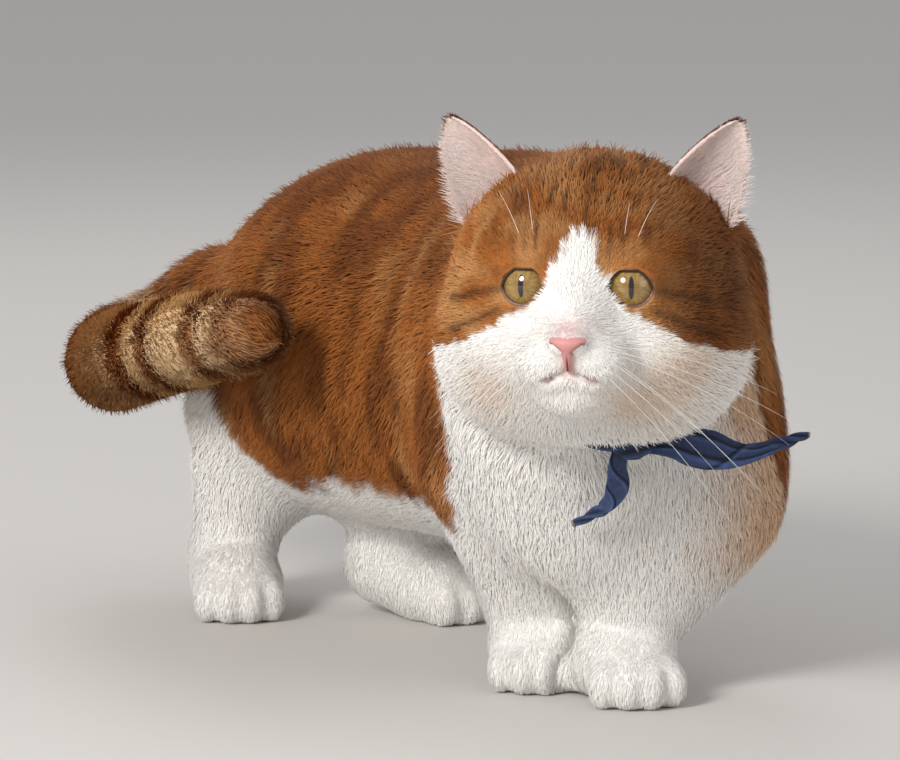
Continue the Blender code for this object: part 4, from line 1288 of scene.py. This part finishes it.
def make_eye(name, side, finish):
    """An eyeball in rings round its pupil, with a slight bulge in front.

    The ring at tilt a is eye + forward * cos(a) * r + (across, up) * sin(a) * r, where r is the eye's radius
    plus the bulge, 0.0005 * exp(-(a / 0.55) squared).
    """
    left, forward, up = axes(HEAD_AZIMUTH + EYE_TOE_OUT * side)
    tilt = np.linspace(0.004, 0.62 * math.pi, EYE_MESH[0])
    a, b = np.meshgrid(tilt, around(EYE_MESH[1]), indexing="ij")
    radius = EYE_RADIUS - 0.0003 + 0.0005 * np.exp(-(a / 0.55) ** 2)
    wide, tall = np.sin(a) * np.cos(b) * radius, np.sin(a) * np.sin(b) * radius
    rows = (eye_centre(side) + wide[..., None] * left + tall[..., None] * up
            + (np.cos(a) * radius)[..., None] * forward)
    made = tube_mesh(name, rows, finish)
    paint(made, eye_colour(np.append(wide.ravel(), (0, 0)), np.append(tall.ravel(), (0, 0))))
    return settled(made)


def make_lids(side, finish):
    """The rim of the lids: a fine roll that follows the opening over the eyeball."""
    left, forward, up = axes(HEAD_AZIMUTH + EYE_TOE_OUT * side)
    wide, tall = eye_outline(side, LID_MESH[0])
    deep = np.sqrt(np.maximum((EYE_RADIUS + 0.0004) ** 2 - wide ** 2 - tall ** 2, 0))
    line = eye_centre(side) + np.outer(wide, left) + np.outer(tall, up) + np.outer(deep, forward)
    run = unit(np.roll(line, -1, axis=0) - np.roll(line, 1, axis=0))
    out = unit(line - eye_centre(side))
    across = np.cross(run, out)
    angle = around(LID_MESH[1])
    rows = (line[:, None] + np.cos(angle)[None, :, None] * across[:, None] * LID_ROLL[0]
            + np.sin(angle)[None, :, None] * out[:, None] * LID_ROLL[1])
    made = tube_mesh("lids_left" if side > 0 else "lids_right", rows, finish, closed_loop=True)
    lower = smooth_step(0.001, -0.004, np.repeat(tall, len(angle)))
    paint(made, mix(np.tile(UPPER_LID, (len(lower), 1)), LOWER_LID, lower * 0.6))
    return settled(made)


def settled(thing):
    """Moves a mesh from the modelling axes on to the CAD frame."""
    points = vertices(thing) - (*PLAN_CENTRE, 0.0)
    thing.data.vertices.foreach_set("co", points.ravel())
    thing.data.update()
    thing.data.shade_smooth()
    return thing


def make_nose(finish):
    """The nose pad, its wings and the ridge down to the lip, as ovals stacked from top to bottom.

    NOSE_ROWS gives height, half width and forward reach of each oval; a smooth path goes through them.
    Round an oval at angle b the point is (half width * cos b, reach + depth * (sin b - 1), height), drawn
    back in the comma of each nostril and along the groove of the ridge.
    """
    rows = smooth_path(NOSE_ROWS, NOSE_MESH[0])
    turn = around(NOSE_MESH[1])
    wide = rows[:, 1:2] * np.cos(turn)[None]
    tall = np.repeat(rows[:, :1], len(turn), axis=1)
    front = np.sin(turn)[None] > 0
    gap = line_gap(np.abs(wide).ravel(), tall.ravel(), NOSTRIL_LINE).reshape(wide.shape)
    pit = np.exp(-(gap / 0.0008) ** 2) * front
    groove = np.exp(-(wide / 0.00030) ** 2) * smooth_step(-0.0030, -0.0080, tall) * front
    depth = 0.0022 + 0.20 * rows[:, 1:2]
    deep = rows[:, 2:3] + depth * (np.sin(turn)[None] - 1) - 0.0020 * pit - 0.0009 * groove
    offset = np.stack([wide, deep, tall], axis=-1)
    made = tube_mesh("nose", np.array(HEAD) + offset @ axes(HEAD_AZIMUTH), finish)
    # Painted shade: near-black in the nostril pits and, weaker, down the groove of the ridge
    dark = np.append(np.clip(pit + 0.7 * groove, 0, 1).ravel(), (0, 0))
    low = np.append(smooth_step(-0.003, -0.010, tall).ravel(), (0, 1))
    # Paler pink at the top of the pad, where the fur begins, and on its lower wings
    wings = smooth_step(0.55, 1.0, np.abs(np.cos(turn)))[None] * (tall < -0.003)
    paler = np.append(np.clip(smooth_step(0.0012, 0.0040, tall) + 0.7 * wings, 0, 1).ravel(), (1, 0))
    colour = mix(np.tile(NOSE_PINK, (len(dark), 1)), LIP, 0.5 * low)
    paint(made, mix(mix(colour, PALE_PINK, 0.85 * paler), NOSTRIL, dark))
    return settled(made)


def cloth_end(name, path, half_widths, faces, folds, finish):
    """One free end of the neckerchief: a strip with folds laid over each other, that ends in a twisted rope.

    At angle t round the strip its outline is half width * cos t across and half thickness * sin t out of it.
    Each fold raises what lies past a line that crosses the strip. The rope's outline swells as cos(3 t) and
    turns.
    """
    line = smooth_path(np.column_stack([path, half_widths]), FREE_END_MESH[0])
    run = unit(np.gradient(line[:, :3], axis=0))
    out = unit(np.array(faces) - run * (run @ np.array(faces))[:, None])
    side = np.cross(run, out)
    angle = around(FREE_END_MESH[1])[None]
    share = np.linspace(0, 1, len(line))[:, None]
    half = line[:, 3:]
    rope = smooth_step(ROPE_FROM, ROPE_FROM + 0.14, share)
    turn = ROPE_TURNS * 2 * math.pi * np.maximum(share - ROPE_FROM, 0) / (1 - ROPE_FROM)
    across = np.cos(angle) + 0 * share
    thick = np.sin(angle) * (CLOTH_HALF_THICKNESS * (1 - rope) + 0.85 * half * rope)
    raised, crease = np.zeros_like(across), np.zeros_like(across)
    for height, first, last, start, end, soft in folds:
        edge = first + (last - first) * smooth_step(start, end, share)
        present = smooth_step(start - 0.12, start, share) * (1 - rope)
        past = across - edge
        raised += height * present * (smooth_step(-soft, soft, past) - 0.5 * smooth_step(0.0, 0.9, past))
        # Painted highlight on the ridge past each fold line, painted shade in the valley before it
        ridge, valley = np.exp(-((past - 0.16) / 0.12) ** 2), np.exp(-((past + 0.10) / 0.10) ** 2)
        crease += present * (ridge - 1.3 * valley)
    lobes = 1 + 0.30 * rope * np.cos(3 * angle + turn)
    wide = across * half * (1 + 0.03 * np.sin(19 * share)) * lobes
    deep = thick * lobes + raised
    rows = line[:, None, :3] + wide[..., None] * side[:, None] + deep[..., None] * out[:, None]
    made = tube_mesh(name, rows, finish)
    # Painted light: the blue is lighter on raised folds and on the rope's lobes, darker between lobes
    light = 0.34 + 90 * raised + 0.42 * crease + 0.34 * rope * np.cos(3 * angle + turn)
    light = light + 0.25 * smooth_step(0.80, 1.0, np.abs(across)) * (1 - rope)
    light = np.append(light.ravel(), (light[0].mean(), light[-1].mean()))
    colour = mix(np.tile(BLUE_IN_SHADE, (len(light), 1)), BLUE_IN_LIGHT, np.clip(light, 0, 1))
    along = np.append(np.broadcast_to(share, across.shape).ravel(), (0, 1))
    paint(made, mix(colour, TAN, 0.8 * smooth_step(0.975, 0.995, along)))
    return settled(made)


def cloth_band(finish):
    """The neckerchief's band: a folded strip carried round the neck, sunk in the fur, with turning pleats.

    At angle t round the strip and turn u round the neck its outline is width / 2 * cos t * (1 + 0.06 sin 11u)
    along the neck and thickness / 2 * sin t * (1 + 0.25 fold) out from it. Fold is sin(5 t + 5 u) * |sin t|.
    """
    middle, directions, radii = band_frame()
    turn = around(BAND_MESH[0])
    ring = np.column_stack([np.cos(turn), np.sin(turn)])
    _, near = band_places((ring * radii) @ directions[:2] + middle)
    sunk = BAND_SUNK[1] + (BAND_SUNK[0] - BAND_SUNK[1]) * near
    line = (ring * (np.array(radii) - sunk[:, None])) @ directions[:2] + middle
    outward = unit((ring / radii) @ directions[:2])
    angle = around(BAND_MESH[1])
    fold = np.sin(5 * angle[None] + 5 * turn[:, None]) * np.abs(np.sin(angle))[None]
    wide = np.cos(angle)[None] * (BAND_SIZE[0] / 2) * (1 + 0.06 * np.sin(11 * turn))[:, None]
    thick = np.sin(angle)[None] * (BAND_SIZE[1] / 2) * (1 + 0.25 * fold)
    rows = line[:, None] + wide[..., None] * directions[2] + thick[..., None] * outward[:, None]
    made = tube_mesh("neckerchief_band", rows, finish, closed_loop=True)
    # Painted light and shade on the pleats: lighter where a pleat swells out, darker where it sinks
    paint(made, mix(np.tile(BLUE_IN_SHADE, (fold.size, 1)), BLUE_IN_LIGHT, np.clip(0.25 + 0.4 * fold.ravel(), 0, 1)))
    return settled(made)


def cloth_knot(finish):
    """The knot: an ellipsoid whose reach at tilt a and turn b is scaled by 1 + 0.07 sin(5 a + 2 b)."""
    tilt = np.linspace(0.01, math.pi - 0.01, KNOT_MESH[0])
    a, b = np.meshgrid(tilt, around(KNOT_MESH[1]), indexing="ij")
    fold = np.sin(5 * a + 2 * b)
    offset = np.stack([np.sin(a) * np.cos(b), np.sin(a) * np.sin(b), np.cos(a)], axis=-1) * KNOT_RADII
    made = tube_mesh("neckerchief_knot", np.array(KNOT) + offset * (1 + 0.07 * fold)[..., None], finish)
    # Painted light and shade on the knot: lighter where its folds swell, darker between them
    light = np.append(0.25 + 0.3 * fold.ravel(), (0.2, 0.2))
    paint(made, mix(np.tile(BLUE_IN_SHADE, (len(light), 1)), BLUE_IN_LIGHT, np.clip(light, 0, 1)))
    return settled(made)


def grain_group():
    """A node group: fine cloudy grain that varies a colour and gives a height for a bump.

    The colour comes out multiplied by 1 + Amount * (noise - 0.5) * 2; the height is the noise itself.
    """
    group = bpy.data.node_groups.new("fine_grain", "ShaderNodeTree")
    ports = group.interface
    ports.new_socket("Color", in_out="INPUT", socket_type="NodeSocketColor")
    ports.new_socket("Scale", in_out="INPUT", socket_type="NodeSocketFloat")
    ports.new_socket("Amount", in_out="INPUT", socket_type="NodeSocketFloat")
    ports.new_socket("Color", in_out="OUTPUT", socket_type="NodeSocketColor")
    ports.new_socket("Height", in_out="OUTPUT", socket_type="NodeSocketFloat")
    given, result = group.nodes.new("NodeGroupInput"), group.nodes.new("NodeGroupOutput")
    place, cloud = add_node(group, "TexCoord"), add_node(group, "TexNoise")
    cloud.inputs["Detail"].default_value = 4.0
    centred, level = (add_node(group, "Math", operation="MULTIPLY_ADD") for _ in range(2))
    centred.inputs[1].default_value = 2.0
    centred.inputs[2].default_value = -1.0
    level.inputs[2].default_value = 1.0
    tone = add_node(group, "VectorMath", operation="SCALE")
    joins = (
        (place.outputs["Object"], cloud.inputs["Vector"]),
        (given.outputs["Scale"], cloud.inputs["Scale"]),
        (cloud.outputs["Fac"], centred.inputs[0]),
        (centred.outputs["Value"], level.inputs[0]),
        (given.outputs["Amount"], level.inputs[1]),
        (given.outputs["Color"], tone.inputs[0]),
        (level.outputs["Value"], tone.inputs["Scale"]),
        (tone.outputs["Vector"], result.inputs["Color"]),
        (cloud.outputs["Fac"], result.inputs["Height"]),
    )
    for outlet, inlet in joins:
        group.links.new(outlet, inlet)
    return group


def grained(finish, group, scale, amount, bump=0.0):
    """Adds the fine grain to a material's colour and, where bump is given in metres, to its surface."""
    tree = finish.node_tree
    shader = tree.nodes["Principled BSDF"]
    grain = add_node(tree, "Group", node_tree=group)
    grain.inputs["Scale"].default_value = scale
    grain.inputs["Amount"].default_value = amount
    base = shader.inputs["Base Color"]
    if base.is_linked:
        tree.links.new(base.links[0].from_socket, grain.inputs["Color"])
    else:
        grain.inputs["Color"].default_value = base.default_value
    tree.links.new(grain.outputs["Color"], base)
    if bump:
        lift = add_node(tree, "Bump")
        lift.inputs["Distance"].default_value = bump
        tree.links.new(grain.outputs["Height"], lift.inputs["Height"])
        tree.links.new(lift.outputs["Normal"], shader.inputs["Normal"])
    return finish


def denim(name):
    """Blue woven cotton: the folds' painted light and shade, with a fine twill in the bump."""
    made = surface(name, 0.9)
    tree = made.node_tree
    place, weave, lift = (add_node(tree, kind) for kind in ("TexCoord", "TexWave", "Bump"))
    weave.inputs["Scale"].default_value = 900.0
    weave.inputs["Distortion"].default_value = 1.5
    lift.inputs["Strength"].default_value = 0.4
    lift.inputs["Distance"].default_value = 0.0003
    tree.links.new(place.outputs["Object"], weave.inputs["Vector"])
    tree.links.new(weave.outputs["Fac"], lift.inputs["Height"])
    tree.links.new(lift.outputs["Normal"], tree.nodes["Principled BSDF"].inputs["Normal"])
    return made


def whisker_ways():
    """Root and reach of each whisker from the head's middle: four rows by the nose, two over each eye."""
    random = np.random.default_rng(WHISKER_SEED)
    hairs = []
    for side, shortest, longest, back in WHISKER_SIDES:
        for row, up in enumerate(WHISKER_ROWS):
            for column in range(2 if row < 3 else 1):
                root = (side * (0.0128 + 0.0040 * column), 0.0678 - 0.0038 * column, up + 0.0008 * column)
                fan = -0.08 - 0.26 * row + random.normal(0, 0.10)
                way = np.array((side * 0.80, -back + 0.12 * random.random(), fan))
                hairs.append((root, unit(way) * random.uniform(shortest, longest)))
        for column in range(2):
            root = (side * (0.0160 + 0.004 * column), 0.0440, 0.0315)
            way = np.array((side * (0.10 + 0.25 * column), 0.05, 0.95))
            hairs.append((root, unit(way) * random.uniform(0.020, 0.032)))
    return hairs


def make_whiskers(finish):
    """Long white whiskers from the muzzle and brows: thin tapered hairs with a bow in each.

    A hair's middle is root + reach * s + droop * s * s, and its radius falls from root to tip.
    """
    s = np.linspace(0, 1, WHISKER_RINGS)
    angle = around(WHISKER_AROUND)[None, :, None]
    radius = (WHISKER_RADIUS * (1 - s) ** 0.7 + WHISKER_TIP)[:, None, None]
    ring, step = np.meshgrid(np.arange(WHISKER_RINGS - 1), np.arange(WHISKER_AROUND), indexing="ij")
    low, high = ring * WHISKER_AROUND + step, ring * WHISKER_AROUND + (step + 1) % WHISKER_AROUND
    quads = np.stack([low, high, high + WHISKER_AROUND, low + WHISKER_AROUND], axis=-1).reshape(-1, 4)
    hairs, faces = [], []
    for number, (root, reach) in enumerate(whisker_ways()):
        droop = np.array((0, -0.10, -0.22)) * np.linalg.norm(reach)
        line = root + np.outer(s, reach) + np.outer(s * s, droop)
        run = unit(np.gradient(line, axis=0))
        side = unit(np.cross(run, (0.1, 0.9, 0.4)))
        out = np.cross(side, run)
        hairs.append(line[:, None] + radius * (np.cos(angle) * side[:, None] + np.sin(angle) * out[:, None]))
        faces.append(quads + number * WHISKER_RINGS * WHISKER_AROUND)
    points = np.array(HEAD) + np.array(hairs).reshape(-1, 3) @ axes(HEAD_AZIMUTH)
    mesh = bpy.data.meshes.new("whiskers")
    mesh.from_pydata(points.tolist(), [], np.vstack(faces).tolist())
    return settled(new_object("whiskers", mesh, finish))


def paint_skin(skin, finish):
    """Paints the skin with the coat's markings, pink in the ears. Gives its arrays in the modelling axes."""
    arrays = mesh_arrays(skin)
    points, _, normals, _ = arrays
    paint(skin, np.where(in_cup(points, normals, 0.0)[:, None], PINK, markings(points)))
    skin.data.materials.clear()
    skin.data.materials.append(finish)
    settled(skin)
    return arrays


def set_camera():
    """The photo's view."""
    turn, lift = math.radians(CAMERA_AZIMUTH), math.radians(CAMERA_ELEVATION)
    back = Vector((math.sin(turn) * math.cos(lift), -math.cos(turn) * math.cos(lift), math.sin(lift)))
    lens = bpy.data.cameras.new("camera")
    lens.lens = CAMERA_LENS
    lens.sensor_width = CAMERA_SENSOR
    lens.sensor_fit = "HORIZONTAL"
    lens.clip_start, lens.clip_end = 0.05, 30
    camera = new_object("camera", lens)
    camera.location = np.array(CAMERA_PLACE) - (*PLAN_CENTRE, 0.0)
    camera.rotation_mode = "QUATERNION"
    camera.rotation_quaternion = (-back).to_track_quat("-Z", "Y")
    bpy.context.scene.camera = camera


def add_lamp(name, place, size, power, colour):
    """A soft round lamp that shines at the cat."""
    lamp = bpy.data.lights.new(name, "AREA")
    lamp.shape = "DISK"
    lamp.size = size
    lamp.energy = power
    lamp.color = colour
    made = new_object(name, lamp)
    made.location = place
    made.rotation_mode = "QUATERNION"
    made.rotation_quaternion = (Vector(LAMPS_AIM) - Vector(place)).to_track_quat("-Z", "Y")


def set_studio():
    """Pale floor, soft lamps and an even sky."""
    world = bpy.data.worlds.new("world")
    bpy.context.scene.world = world
    world.use_nodes = True
    sky = world.node_tree.nodes["Background"]
    sky.inputs["Color"].default_value = SKY_COLOUR
    sky.inputs["Strength"].default_value = SKY_STRENGTH
    mesh = bpy.data.meshes.new("floor")
    corners = [(x * FLOOR_REACH, y * FLOOR_REACH, 0) for x, y in ((-1, -1), (1, -1), (1, 1), (-1, 1))]
    mesh.from_pydata(corners, [], [(0, 1, 2, 3)])
    new_object("floor", mesh, surface("floor", 0.7, FLOOR_COLOUR))
    for name, lamp in LAMPS.items():
        add_lamp(name, *lamp)


def make_finishes():
    """Every material, by the name of what it covers."""
    grain = grain_group()
    return {
        "fur": grained(surface("fur", 0.75, Specular_IOR_Level=0.15), grain, 1800.0, 0.35),
        "skin": grained(surface("skin", 0.7, Specular_IOR_Level=0.2), grain, 900.0, 0.30, 0.0004),
        "eye": grained(surface("eye", 0.12, Coat_Weight=1.0, Coat_Roughness=0.03), grain, 1500.0, 0.25),
        "rim": grained(surface("rim", 0.35), grain, 2500.0, 0.2, 0.0001),
        "nose": grained(surface("nose", 0.45, Subsurface_Weight=0.1, Subsurface_Scale=0.002),
                        grain, 2600.0, 0.2, 0.00015),
        "cloth": grained(denim("cloth"), grain, 420.0, 0.5),
        "whisker": grained(surface("whisker", 0.4, WHISKER_WHITE), grain, 300.0, 0.15),
    }


def make_neckerchief(finish):
    """The band, with the knot and the two free ends on it."""
    band = cloth_band(finish)
    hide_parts("neckerchief")
    others = [
        cloth_knot(finish),
        cloth_end("neckerchief_leaf", LEAF_PATH, LEAF_HALF_WIDTHS, LEAF_FACES, LEAF_FOLDS, finish),
        cloth_end("neckerchief_tail", TAIL_END_PATH, TAIL_END_HALF_WIDTHS, TAIL_END_FACES, TAIL_END_FOLDS,
                  finish),
    ]
    return [band, *others]


def build():
    """Makes every piece and ties it to the frame."""
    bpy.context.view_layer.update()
    finishes = make_finishes()
    skin = make_skin()
    arrays = paint_skin(skin, finishes["skin"])
    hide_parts("head", "neck", "torso", "tail_1", "tail_2", "tail_3", "leg_front_left",
                "leg_front_right", "leg_hind_left", "leg_hind_right", "ear_left", "ear_right")
    made = {"coat": [skin], "eye": [], "denim": [], "ear_skin": []}
    made["coat"] += make_coat(arrays, finishes["fur"])
    for side, name in ((1, "left"), (-1, "right")):
        eyeball = make_eye("eyeball_" + name, side, finishes["eye"])
        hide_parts("eye_" + name)
        made["eye"].append(eyeball)
        made["ear_skin"].append(make_lids(side, finishes["rim"]))
    made["ear_skin"].append(make_nose(finishes["nose"]))
    made["coat"].append(make_whiskers(finishes["whisker"]))
    made["denim"] += make_neckerchief(finishes["cloth"])
    for slot, things in made.items():
        for thing in things:
            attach(thing, "root")
    set_camera()
    set_studio()
    bpy.context.scene.view_settings.view_transform = "Standard"


build()
